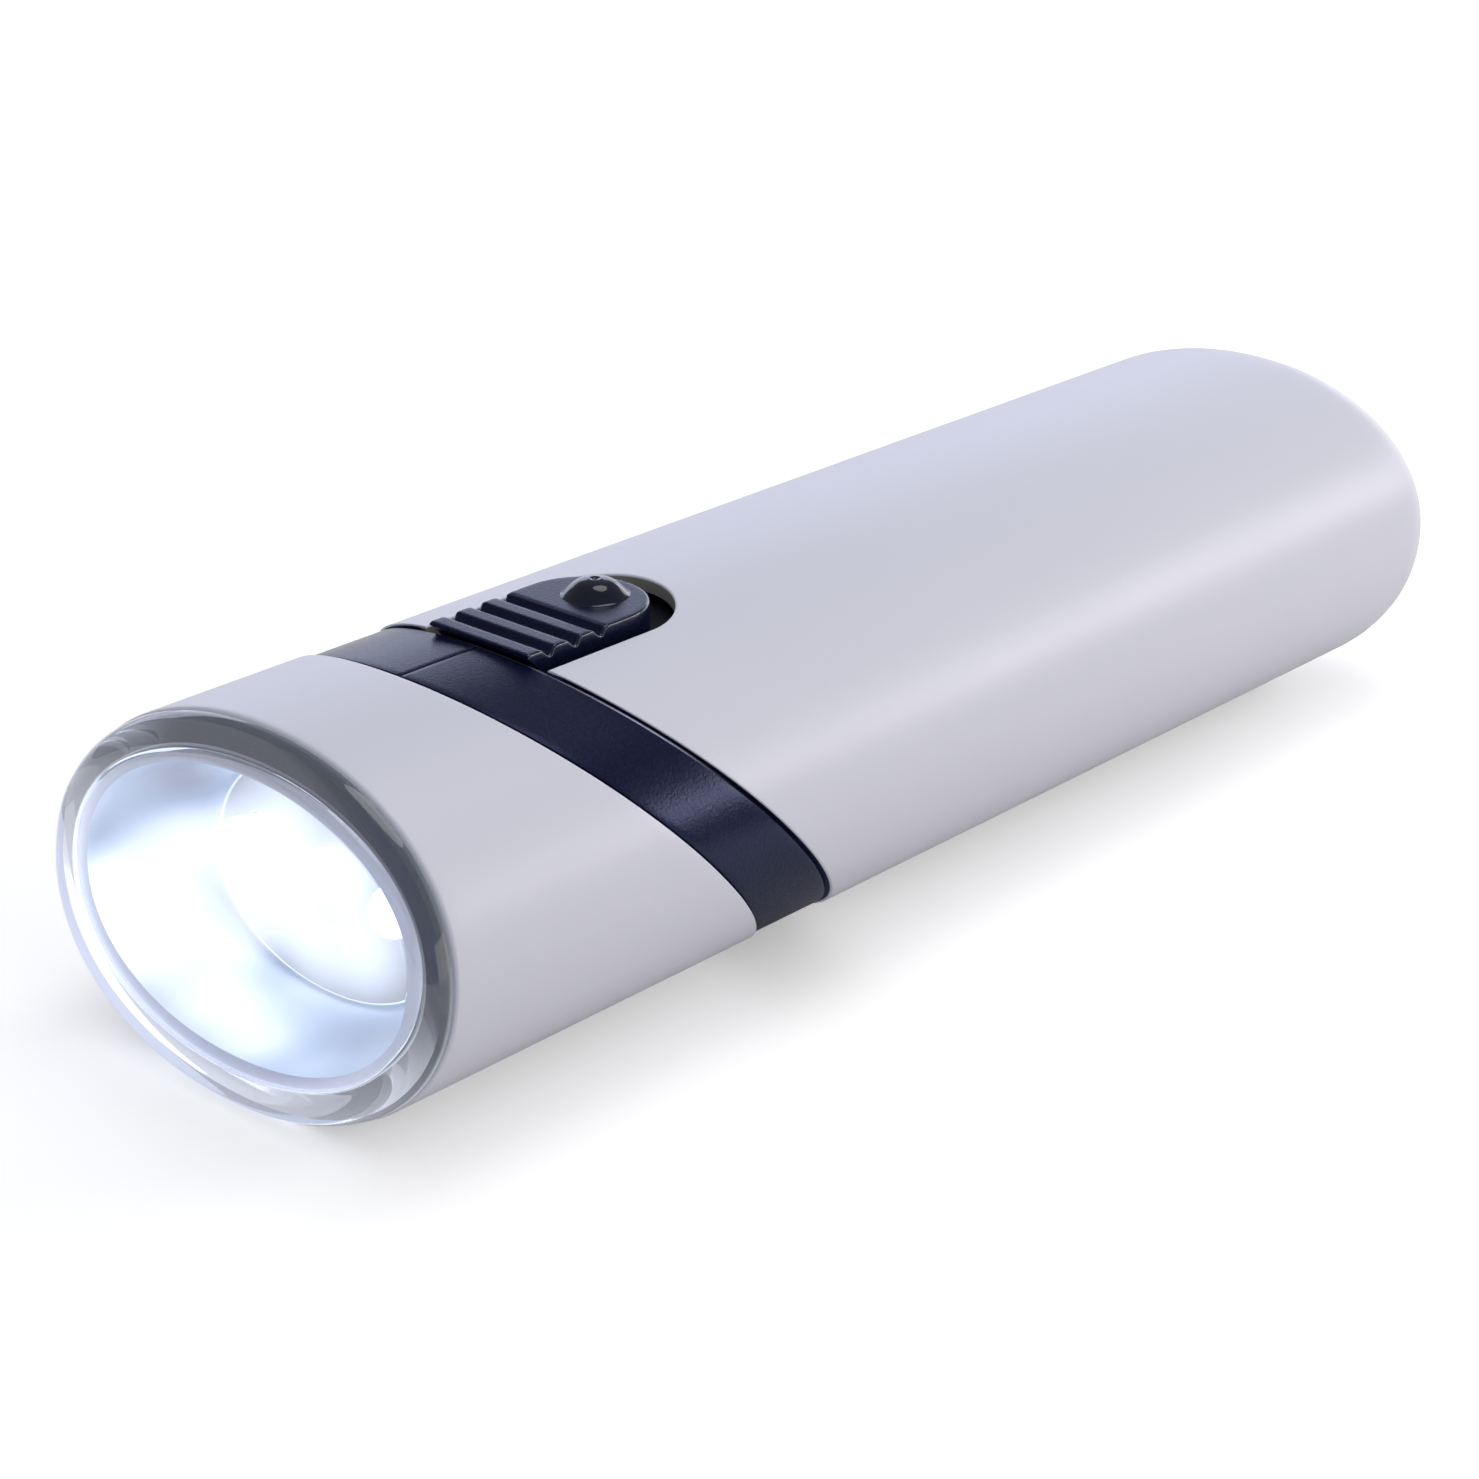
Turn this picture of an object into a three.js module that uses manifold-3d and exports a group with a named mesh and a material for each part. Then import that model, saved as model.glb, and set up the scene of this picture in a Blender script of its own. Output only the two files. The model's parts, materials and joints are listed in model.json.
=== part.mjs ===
// A hand torch with a flat oval body: a head sleeve, a slanted dark band, and a long rear shell
// that slides off rearwards over a two-part chassis. A thumb slide on top works the lamp.
// Millimetres, +Z up. The lamp shines along -Y and the tail is towards +Y.
// Each piece is modelled round the body's axis, with y = 0 at the sleeve's front edge,
// and the whole assembly is then set down so that it rests on z = 0.
import * as THREE from 'three';
import { mergeVertices } from 'three/addons/utils/BufferGeometryUtils.js';
import Module from 'manifold-3d';

const wasm = await Module();
wasm.setup();

// Clearances and walls
const fitGap = 0.3;
const seamGap = 0.4;
const shellWall = 1.4;
const sleeveWall = 1.4;
const chassisWall = 1.6;
const overrun = 2;

// Dry cells, two of C size in line
const cellRadius = 13.1;
const cellLength = 50;
const nubRadius = 3.3;
const nubLength = 1.5;
const cellRimRound = 0.8;
const cellDishDepth = 0.4;
const cellClearance = 0.9;

// Body section: a flat oval, |x/a|^p + |z/b|^p = 1
const bodyHalfWidth = 26;
const sectionPowerShare = 2.08;
const restFlatDrop = 0.3;
const edgeBevel = 0.4;

// Slants of the front face, the band and the tail: rise of y for each unit of z
const frontSlopeShare = 0.146;
const bandSlopeShare = -0.887;
const tailSlopeShare = 0.212;

// Dark band between the sleeve and the shell
const bandStart = 33.3;
const bandWidth = 10.1;
const bandRecess = 0.3;

// Rounded tail
const tailRoundLength = 8.9;
const tailRoundInset = 10.8;

// Clear front cap
const lensRise = 3;
const lensRound = 3;
const lensThickness = 1.8;
const lensSkirtLength = 6;
const lensSkirtWall = 1.5;

// Reflector
const reflectorDepth = 11;
const reflectorWall = 1.2;
const reflectorRimWidth = 1.45;
const reflectorSkirtLength = 7;
const reflectorPlateHalfWidth = 16;
const reflectorPlateHalfHeight = 11;
const reflectorSeatLength = 1.6;
const reflectorSeatWidth = 0.6;

// Lamp board
const ledPitch = 10.7;
const ledRadius = 2.5;
const ledFlangeRadius = 2.9;
const ledFlangeLength = 1;
const ledLength = 8.6;
const ledCount = 3;
const boardHalfWidth = 17;
const boardHalfHeight = 7.5;
const boardCorner = 3;
const boardThickness = 1.6;
const boardStandoff = 3;
const boardScrewSpread = 5.35;
const boardScrewDrop = 4.3;
const boardPostRadius = 2.1;
const resistorRadius = 1.2;
const resistorLength = 6.4;
// Dog-bone outline of the resistor: share of its half length, share of its radius
const resistorShares = [[-1, 0], [-1, 1], [-0.5, 1], [-0.33, 0.85], [0.33, 0.85], [0.5, 1], [1, 1], [1, 0]];
const resistorLeadRadius = 0.3;
const resistorLeadSpread = 4.6;
const resistorRise = 3.6;
const resistorLift = 1.5;

// Screws: one kind for the chassis and a smaller one for the board
const chassisScrewHeadRadius = 2.3;
const chassisScrewHeadHeight = 1.6;
const chassisScrewShankRadius = 1.3;
const chassisScrewLength = 10;
const chassisScrewSeat = 4;
const chassisScrewRoom = 3.6;
const boardScrewHeadRadius = 1.7;
const boardScrewHeadHeight = 1.1;
const boardScrewShankRadius = 0.9;
const recessShares = { reach: 0.6, width: 0.22, depth: 0.55 };
const screwCrownShare = 0.25;
const screwTipShare = 0.33;

// Thumb slide
const buttonHalfWidth = 6.5;
const buttonStraight = 13.2;
const buttonRise = 0.5;
const buttonHeight = 2.5;
const buttonChamfer = 0.3;
const undercutHeight = 2.3;
const ridgePitch = 3.3;
const ridgeDepth = 0.75;
const ridgeCount = 3;
// Across one pitch: share of the pitch rearwards, share of the depth downwards
const ridgeShares = [[0, 0.2], [0.12, 0], [0.44, 0.08], [0.62, 0.9], [0.8, 1], [0.9, 0.85]];
const domeRadius = 3.15;
const domeHeight = 1.75;
const domeSetback = 2;
// Bell outline of the dome: share of its radius, share of its height
const domeShares = [[1, 0], [0.9, 0.2], [0.77, 0.46], [0.55, 0.76], [0.32, 0.93], [0, 1]];
const slotHalfWidth = 8;
const switchTravel = 2.5;
const deckDrop = 2.3;

// Switch works under the deck
const stemPlace = 9.5;
const stemHalfWidth = 2;
const stemHalfLength = 2.5;
const carriageHalfWidth = 6;
const carriageHalfLength = 4.6;
const carriageHeight = 2.3;
const carriageDrop = 0.8;
const detentDepth = 0.7;
const stripThickness = 0.5;
const stripWidth = 3;
const bridgeHalfLength = 3.5;
const bridgeBumpSpread = 4.5;
const bridgeBumpRadius = 0.8;
const shelfThickness = 0.9;
const shelfReach = 8;
const detentLeafBow = 2.4;
const detentLeafHeight = 2.6;
const detentLeafHalfLength = 5;

// Long contact strip and tail spring
const stripClearance = 1.2;
const contactPlateHalf = 6;
const tailSpringLength = 3.7;
const tailSpringWire = 0.8;
const tailSpringTurns = 3;
const tailSpringWideRadius = 8;
const tailSpringNarrowRadius = 3;

// Chassis cradle
const cradleRail = 4;
const cradleRibThickness = 1.6;
const cradleRibShares = [0.16, 0.38, 0.62, 0.84];
const nubHoleRadius = 4.5;

// Springs that hold the rear shell by friction, and the leaf that the click spring shares
const leafThickness = 0.4;
const gripSpringPlaceShare = 0.72;
const gripSpringLength = 20;
const gripSpringWidth = 5;
const gripPocketDepth = 1.1;
const gripSpringGap = 0.15;

// Facets
const sectionSides = 48;
const tailSteps = 5;
const lensSteps = 6;
const bowlSteps = 4;
const roundSides = 24;
const smallSides = 12;
const columnSides = 16;
const lampSteps = 4;
const wireSides = 5;
const springStepsPerTurn = 8;

// Sizes that follow from the driving ones
const chassisInset = Math.max(shellWall, sleeveWall) + fitGap;
const chassisInner = chassisInset + chassisWall;
const bodyHalfHeight = cellRadius + cellClearance + chassisInner;
const bandEnd = bandStart + bandWidth;
const buttonFront = bandEnd + bandSlopeShare * bodyHalfHeight;
const buttonTop = bodyHalfHeight + buttonRise;
const buttonBottom = buttonTop - buttonHeight;
const buttonRoundCentre = buttonFront + buttonStraight;
const slotRoundCentre = buttonRoundCentre + buttonHalfWidth + switchTravel + fitGap - slotHalfWidth;
const slotEnd = slotRoundCentre + slotHalfWidth;
const deckTop = bodyHalfHeight - deckDrop;
const deckUnder = bodyHalfHeight - chassisInner;
const stemCentre = buttonFront + stemPlace;
const carriageTop = deckUnder - carriageDrop;
const carriageBottom = carriageTop - carriageHeight;
const bridgeTop = carriageBottom - fitGap;
const bridgeBottom = bridgeTop - stripThickness;
const fingerTop = bridgeBottom - fitGap;
const fingerBottom = fingerTop - stripThickness;
const shelfTop = fingerBottom - fitGap;
const stopWallPlace = stemCentre + carriageHalfLength + switchTravel + 2 * fitGap;
const stopWallThickness = nubLength - fitGap;
const frontCellStart = stopWallPlace;
const rearCellStart = frontCellStart + cellLength + fitGap;
const cellsEnd = rearCellStart + cellLength;
const tailSpringStart = cellsEnd + fitGap;
const tailPlatePlace = tailSpringStart + tailSpringLength + fitGap;
const tailWallPlace = tailPlatePlace + stripThickness + fitGap + tailSlopeShare * contactPlateHalf;
const bodyLength = tailWallPlace + chassisWall + fitGap + shellWall;
const tailRoundStart = bodyLength - tailRoundLength;
const lensUnder = -lensRise + lensThickness;
const skirtInset = sleeveWall + fitGap;
const reflectorInset = skirtInset + lensSkirtWall + fitGap;
const mouthInset = reflectorInset + reflectorRimWidth;
const reflectorFront = lensUnder + fitGap;
const platePlace = reflectorFront + reflectorDepth;
const boardCentre = platePlace + reflectorWall + boardStandoff + boardThickness / 2;
const boardRear = boardCentre + boardThickness / 2;
const boardScrewLength = boardThickness + boardStandoff - reflectorWall / 2 - fitGap;
const chassisFront = lensSkirtLength + fitGap;
const headTilt = -Math.atan(frontSlopeShare);
const longStripPlace = cellRadius + stripClearance;
const frontStripPlace = boardScrewSpread + boardPostRadius + stripWidth + fitGap;

// Materials: colour, roughness, metalness
const makeMaterial = (color, roughness, metalness, more = {}) => (
  () => new THREE.MeshStandardMaterial({ color, roughness, metalness, ...more })
);
const silverPaint = makeMaterial(0xc6c6cf, 0.38, 0.35);
const darkPlastic = makeMaterial(0x20253c, 0.5, 0);
const blackPlastic = makeMaterial(0x15171d, 0.6, 0);
const clearPlastic = makeMaterial(0xe8f0f6, 0.05, 0, { transparent: true, opacity: 0.35 });
const chromed = makeMaterial(0xe6ecf2, 0.12, 1);
const boardLaminate = makeMaterial(0x1f5a38, 0.6, 0);
const lampResin = makeMaterial(0xf2f8ff, 0.1, 0);
const resistorCoat = makeMaterial(0xcdb48a, 0.6, 0);
const springSteel = makeMaterial(0xa9abad, 0.35, 1);
const screwSteel = makeMaterial(0x8c8f94, 0.4, 1);
const contactBrass = makeMaterial(0xc8a355, 0.35, 1);
const cellJacket = makeMaterial(0x4c5560, 0.45, 0.2);
const carriagePlastic = makeMaterial(0xd8d4c6, 0.6, 0);

// A geometry with only positions, its doubled vertices merged and its flat slivers dropped
function weld(geometry) {
  const bare = new THREE.BufferGeometry();
  bare.setAttribute('position', geometry.getAttribute('position').clone());
  if (geometry.getIndex()) bare.setIndex(geometry.getIndex().clone());
  const merged = mergeVertices(bare);
  const index = merged.getIndex();
  const kept = [];
  for (let i = 0; i < index.count; i += 3) {
    const [a, b, c] = [index.getX(i), index.getX(i + 1), index.getX(i + 2)];
    if (a !== b && b !== c && c !== a) kept.push(a, b, c);
  }
  merged.setIndex(kept);
  return merged;
}

// Signed volume: positive when the faces of a closed mesh point outwards
function signedVolume(positions, triangles) {
  let sum = 0;
  for (let i = 0; i < triangles.length; i += 3) {
    const [p, q, r] = [0, 1, 2].map((k) => new THREE.Vector3().fromArray(positions, 3 * triangles[i + k]));
    sum += p.dot(q.cross(r)) / 6;
  }
  return sum;
}

// A closed body through rings of points. With ends that don't meet, a fan closes each end.
function loft(rings, meets = false) {
  const sides = rings[0].length;
  const positions = rings.flat().flatMap((point) => [point.x, point.y, point.z]);
  const triangles = [];
  const spans = meets ? rings.length : rings.length - 1;
  for (let i = 0; i < spans; i += 1) {
    const next = (i + 1) % rings.length;
    for (let j = 0; j < sides; j += 1) {
      const k = (j + 1) % sides;
      const [a, b, c, d] = [i * sides + j, i * sides + k, next * sides + j, next * sides + k];
      triangles.push(a, b, d, a, d, c);
    }
  }
  if (!meets) {
    const closeEnd = (ring, first, flipped) => {
      const centre = new THREE.Vector3();
      ring.forEach((point) => centre.addScaledVector(point, 1 / sides));
      const hub = positions.length / 3;
      positions.push(centre.x, centre.y, centre.z);
      for (let j = 0; j < sides; j += 1) {
        const k = (j + 1) % sides;
        triangles.push(hub, first + (flipped ? k : j), first + (flipped ? j : k));
      }
    };
    closeEnd(rings[0], 0, true);
    closeEnd(rings[rings.length - 1], (rings.length - 1) * sides, false);
  }
  if (signedVolume(positions, triangles) < 0) triangles.reverse();
  const geometry = new THREE.BufferGeometry();
  geometry.setAttribute('position', new THREE.Float32BufferAttribute(positions, 3));
  geometry.setIndex(triangles);
  return geometry;
}

// Conversions between three.js geometry and a solid that can be cut and joined
function solid(geometry) {
  const welded = weld(geometry);
  const mesh = new wasm.Mesh({
    numProp: 3,
    vertProperties: new Float32Array(welded.getAttribute('position').array),
    triVerts: new Uint32Array(welded.getIndex().array),
  });
  return new wasm.Manifold(mesh);
}

function surface(body) {
  const mesh = body.getMesh();
  const geometry = new THREE.BufferGeometry();
  geometry.setAttribute('position', new THREE.BufferAttribute(new Float32Array(mesh.vertProperties), 3));
  geometry.setIndex(new THREE.BufferAttribute(new Uint32Array(mesh.triVerts), 1));
  return geometry;
}

const join = (...bodies) => bodies.reduce((sum, body) => sum.add(body));
const cut = (body, ...tools) => tools.reduce((rest, tool) => rest.subtract(tool), body);

// A box between two limits on each axis
function block([x0, x1], [y0, y1], [z0, z1]) {
  const geometry = new THREE.BoxGeometry(x1 - x0, y1 - y0, z1 - z0);
  geometry.translate((x0 + x1) / 2, (y0 + y1) / 2, (z0 + z1) / 2);
  return solid(geometry);
}

// A round bar along 'x', 'y' or 'z' between two places on that axis
function bar(axis, radius, from, to, centre, sides = roundSides) {
  const geometry = new THREE.CylinderGeometry(radius, radius, to - from, sides);
  geometry.translate(0, (from + to) / 2, 0);
  if (axis === 'x') geometry.rotateZ(-Math.PI / 2);
  if (axis === 'z') geometry.rotateX(Math.PI / 2);
  geometry.translate(...centre);
  return solid(geometry);
}

// A turned piece about Y, from pairs of radius and height
function turned(pairs, sides = roundSides) {
  return new THREE.LatheGeometry(pairs.map(([r, h]) => new THREE.Vector2(r, h)), sides);
}

// Ring of the body's oval, drawn in by an inset, on the slanted plane y = place + slope * z
function ovalRing(halfWidth, halfHeight, place, slope) {
  const points = [];
  for (let i = 0; i < sectionSides; i += 1) {
    const angle = (2 * Math.PI * i) / sectionSides;
    const roundness = 2 / sectionPowerShare;
    const along = Math.sign(Math.cos(angle)) * Math.abs(Math.cos(angle)) ** roundness;
    const up = Math.sign(Math.sin(angle)) * Math.abs(Math.sin(angle)) ** roundness;
    const z = halfHeight * up;
    points.push(new THREE.Vector3(halfWidth * along, place + slope * z, z));
  }
  return points;
}
const bodyRing = (inset, place, slope) => (
  ovalRing(bodyHalfWidth - inset, bodyHalfHeight - inset, place, slope)
);

// How far the drawn-in oval reaches from the middle at a height
function ovalReach(inset, z) {
  const up = Math.abs(z) / (bodyHalfHeight - inset);
  return (bodyHalfWidth - inset) * (1 - up ** sectionPowerShare) ** (1 / sectionPowerShare);
}

// The body's form drawn in by an inset, between two slanted planes
function bodySlice(inset, front, frontSlope, rear, rearSlope) {
  return solid(loft([bodyRing(inset, front, frontSlope), bodyRing(inset, rear, rearSlope)]));
}

// The body's form drawn in by an inset, from a slanted plane back to the rounded tail.
// The tail's edge is a quarter ellipse, and the inset thins both of its half axes.
function bodyForm(inset, front, frontSlope) {
  const rings = [bodyRing(inset, front, frontSlope)];
  for (let i = 0; i <= tailSteps; i += 1) {
    const angle = (Math.PI / 2) * (i / tailSteps);
    const drawnIn = inset + (tailRoundInset - inset) * (1 - Math.cos(angle));
    const place = tailRoundStart + (tailRoundLength - inset) * Math.sin(angle);
    rings.push(bodyRing(drawnIn, place, tailSlopeShare));
  }
  return solid(loft(rings));
}

// What lies below the narrow flat that the torch rests on
const belowRestFlat = () => block(
  [-bodyHalfWidth, bodyHalfWidth],
  [-overrun - lensRise - bodyHalfHeight, bodyLength + bodyHalfHeight],
  [-bodyHalfHeight - overrun, -bodyHalfHeight + restFlatDrop],
);

// Head sleeve: an oval tube with a slanted front edge, bevelled, and a steeply slanted rear edge
function headSleeve() {
  const rear = bandStart - seamGap;
  const outer = solid(loft([
    bodyRing(edgeBevel, 0, frontSlopeShare),
    bodyRing(0, edgeBevel, frontSlopeShare),
    bodyRing(0, rear, bandSlopeShare),
  ]));
  const inner = bodySlice(sleeveWall, -overrun, frontSlopeShare, rear + overrun, bandSlopeShare);
  return surface(cut(outer, inner, belowRestFlat()));
}

// Rear shell: the long tail cover, with a notch in its front edge round the thumb slide
function rearShell() {
  const front = bandEnd + seamGap;
  const outer = bodyForm(0, front, bandSlopeShare);
  const inner = bodyForm(shellWall, front - overrun, bandSlopeShare);
  const top = [0, bodyHalfHeight + overrun];
  const notch = join(
    block([-slotHalfWidth, slotHalfWidth], [front - bodyHalfHeight - overrun, slotRoundCentre], top),
    bar('z', slotHalfWidth, top[0], top[1], [0, slotRoundCentre, 0], 2 * roundSides),
  );
  return surface(cut(outer, inner, notch, belowRestFlat()));
}

// Clear cap: flat front, rounded edge, a flange on the sleeve's edge and a skirt inside the sleeve
function lensCap() {
  const rings = [];
  for (let i = lensSteps; i >= 0; i -= 1) {
    const angle = (Math.PI / 2) * (i / lensSteps);
    const inset = edgeBevel / 2 + (lensRound - edgeBevel / 2) * (1 - Math.cos(angle));
    const place = -fitGap - (lensRise - fitGap) * Math.sin(angle);
    rings.push(bodyRing(inset, place, frontSlopeShare));
  }
  rings.push(bodyRing(skirtInset, -fitGap, frontSlopeShare));
  rings.push(bodyRing(skirtInset, lensSkirtLength, frontSlopeShare));
  rings.push(bodyRing(skirtInset + lensSkirtWall, lensSkirtLength, frontSlopeShare));
  rings.push(bodyRing(skirtInset + lensSkirtWall, lensUnder, frontSlopeShare));
  return surface(cut(solid(loft(rings)), belowRestFlat()));
}

// Ring of the reflector's bowl at an angle: 0 at the mouth, a quarter turn at the plate.
// The half axes fall by the cosine while the depth grows by the sine, as in an ellipsoid.
function bowlRing(angle, thickness) {
  const mouthWidth = bodyHalfWidth - mouthInset;
  const mouthHeight = bodyHalfHeight - mouthInset;
  const width = reflectorPlateHalfWidth + (mouthWidth - reflectorPlateHalfWidth) * Math.cos(angle);
  const height = reflectorPlateHalfHeight + (mouthHeight - reflectorPlateHalfHeight) * Math.cos(angle);
  const place = reflectorFront + reflectorDepth * Math.sin(angle) + thickness * Math.sin(angle);
  const spread = thickness * Math.cos(angle);
  return ovalRing(width + spread, height + spread, place, frontSlopeShare);
}

// The angle at which the back of the bowl leaves the reflector's outer skirt
const skirtAngle = Math.asin(reflectorSkirtLength / (reflectorDepth + reflectorWall));

// Places of the lamps and of the board's screws, in the board's own frame
const ledPlaces = Array.from({ length: ledCount }, (_, i) => (i - (ledCount - 1) / 2) * ledPitch);
const boardScrewPlaces = [-boardScrewSpread, boardScrewSpread];

// Turns a solid with the lamp board's tilt and sets it at the board's centre
function onBoard(body) {
  return body.rotate([THREE.MathUtils.radToDeg(headTilt), 0, 0]).translate([0, boardCentre, 0]);
}

// Reflector: rim, chromed bowl and flat plate with a hole for each lamp, and posts for the board
function reflector() {
  const rings = [];
  for (let i = bowlSteps; i >= 0; i -= 1) {
    rings.push(bowlRing((Math.PI / 2) * (i / bowlSteps), 0));
  }
  rings.push(bodyRing(reflectorInset, reflectorFront, frontSlopeShare));
  rings.push(bodyRing(reflectorInset, reflectorFront + reflectorSkirtLength, frontSlopeShare));
  for (let i = 0; i <= bowlSteps / 2; i += 1) {
    const angle = skirtAngle + (Math.PI / 2 - skirtAngle) * (i / (bowlSteps / 2));
    rings.push(bowlRing(angle, reflectorWall));
  }
  const bowl = solid(loft(rings));
  const postFrom = -boardThickness / 2 - boardStandoff - reflectorWall / 2;
  const postTo = -boardThickness / 2 - fitGap;
  const posts = boardScrewPlaces.map((x) => (
    bar('y', boardPostRadius, postFrom, postTo, [x, 0, -boardScrewDrop], smallSides)
  ));
  const bores = boardScrewPlaces.map((x) => (
    bar('y', boardScrewShankRadius + fitGap, postFrom + reflectorWall, postTo + overrun,
      [x, 0, -boardScrewDrop], smallSides)
  ));
  const lampHoles = ledPlaces.map((x) => (
    bar('y', ledRadius + fitGap, -boardStandoff - reflectorDepth, 0, [x, 0, 0], columnSides)
  ));
  const body = join(bowl, ...posts.map(onBoard));
  return surface(cut(body, ...bores.map(onBoard), ...lampHoles.map(onBoard)));
}

// Lamp board: a rounded plate with two screw holes, drawn flat and then stood up across Y
function lampBoard() {
  const outline = new THREE.Shape();
  const [w, h, r] = [boardHalfWidth, boardHalfHeight, boardCorner];
  outline.moveTo(-w + r, -h);
  outline.lineTo(w - r, -h);
  outline.absarc(w - r, -h + r, r, -Math.PI / 2, 0, false);
  outline.absarc(w - r, h - r, r, 0, Math.PI / 2, false);
  outline.absarc(-w + r, h - r, r, Math.PI / 2, Math.PI, false);
  outline.absarc(-w + r, -h + r, r, Math.PI, 1.5 * Math.PI, false);
  boardScrewPlaces.forEach((x) => {
    const hole = new THREE.Path();
    hole.absarc(x, -boardScrewDrop, boardScrewShankRadius + fitGap, 0, 2 * Math.PI, true);
    outline.holes.push(hole);
  });
  const plate = new THREE.ExtrudeGeometry(outline, {
    depth: boardThickness, bevelEnabled: false, curveSegments: smallSides / 2,
  });
  plate.rotateX(Math.PI / 2);
  plate.translate(0, boardThickness / 2, 0);
  return weld(plate);
}

// One lamp: a flanged cylinder with a round dome, pointing along -Y from its base at y = 0
function lamp() {
  const straight = ledLength - ledRadius;
  const pairs = [
    [0, 0], [ledFlangeRadius, 0], [ledFlangeRadius, ledFlangeLength], [ledRadius, ledFlangeLength],
  ];
  for (let i = 0; i < lampSteps; i += 1) {
    const angle = (Math.PI / 2) * (i / lampSteps);
    pairs.push([ledRadius * Math.cos(angle), straight + ledRadius * Math.sin(angle)]);
  }
  pairs.push([0, ledLength]);
  const geometry = turned(pairs, smallSides);
  geometry.rotateZ(Math.PI);
  return weld(geometry);
}

// Resistor: a dog-bone body along X with two legs that reach down to the board
function resistor() {
  const pairs = resistorShares.map(([along, out]) => [out * resistorRadius, (along * resistorLength) / 2]);
  const body = turned(pairs, smallSides);
  body.rotateZ(-Math.PI / 2);
  const reach = resistorLeadSpread + resistorLeadRadius;
  const leads = bar('x', resistorLeadRadius, -reach, reach, [0, 0, 0], smallSides / 2);
  const legs = [-resistorLeadSpread, resistorLeadSpread].map((x) => (
    bar('y', resistorLeadRadius, -resistorLift + fitGap, 0, [x, 0, 0], smallSides / 2)
  ));
  return surface(join(solid(body), leads, ...legs));
}

// A screw along Y: pan head at y = 0 and above, shank below, with a crossed recess in the head
function screw(headRadius, headHeight, shankRadius, length) {
  const point = shankRadius;
  const crown = headHeight * screwCrownShare;
  const tip = shankRadius * screwTipShare;
  const pairs = [
    [0, -length], [tip, -length], [shankRadius, -length + point], [shankRadius, 0],
    [headRadius, 0], [headRadius, headHeight - crown], [headRadius - crown, headHeight], [0, headHeight],
  ];
  const reach = headRadius * recessShares.reach;
  const width = headRadius * recessShares.width;
  const floor = headHeight * (1 - recessShares.depth);
  const arms = [
    block([-reach, reach], [floor, headHeight + overrun], [-width, width]),
    block([-width, width], [floor, headHeight + overrun], [-reach, reach]),
  ];
  return surface(cut(solid(turned(pairs, smallSides)), ...arms));
}
const chassisScrewShape = () => screw(
  chassisScrewHeadRadius, chassisScrewHeadHeight, chassisScrewShankRadius, chassisScrewLength,
);
const boardScrewShape = () => screw(
  boardScrewHeadRadius, boardScrewHeadHeight, boardScrewShankRadius, boardScrewLength,
);

// Places (y, z) of the chassis screws: each stays under the sleeve, clear of the strips
const lowScrewDrop = chassisScrewRoom + stripWidth + fitGap;
const highScrewRise = chassisScrewRoom + stripWidth / 2 + fitGap;
const boardRise = Math.max(boardScrewHeadHeight + fitGap, resistorLift + resistorRadius);
const behindBoard = boardRear + frontSlopeShare * boardHalfHeight + boardRise + fitGap;
const chassisScrewPlaces = [
  [behindBoard + chassisScrewRoom, -lowScrewDrop],
  [bandStart, -lowScrewDrop],
  [behindBoard + chassisScrewRoom, highScrewRise],
];

// Column across the chassis for each screw, and the bores that open it from the left side
const screwColumns = () => chassisScrewPlaces.map(([y, z]) => (
  bar('x', chassisScrewRoom, -bodyHalfWidth, bodyHalfWidth, [0, y, z], columnSides)
));
function screwBores() {
  const tunnelTo = -chassisScrewSeat;
  const pilotTo = -chassisScrewSeat + chassisScrewLength + 2 * fitGap;
  return chassisScrewPlaces.flatMap(([y, z]) => [
    bar('x', chassisScrewHeadRadius + fitGap, -bodyHalfWidth - overrun, tunnelTo, [0, y, z], columnSides),
    bar('x', chassisScrewShankRadius + fitGap, -bodyHalfWidth - overrun, pilotTo, [0, y, z], smallSides),
  ]);
}

// Cradle rib: a cross wall that holds the cells, with a round seat for them
const cradleSpan = () => [stopWallPlace + stopWallThickness, tailSpringStart];
function cradleRibs() {
  const [from, to] = cradleSpan();
  return cradleRibShares.map((share) => {
    const place = from + (to - from) * share;
    return bodySlice(
      chassisInset + chassisWall / 2, place, 0, place + cradleRibThickness, 0,
    );
  });
}

// Pocket in each flank for the spring that grips the rear shell
const gripPlace = () => bodyLength * gripSpringPlaceShare;
function gripPocket(side) {
  const outer = bodyHalfWidth - chassisInset;
  const reach = side > 0
    ? [outer - gripPocketDepth, outer + overrun]
    : [-outer - overrun, -outer + gripPocketDepth];
  const half = gripSpringLength / 2 + fitGap;
  const rise = gripSpringWidth / 2 + fitGap;
  return block(reach, [gripPlace() - half, gripPlace() + half], [-rise, rise]);
}

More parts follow.
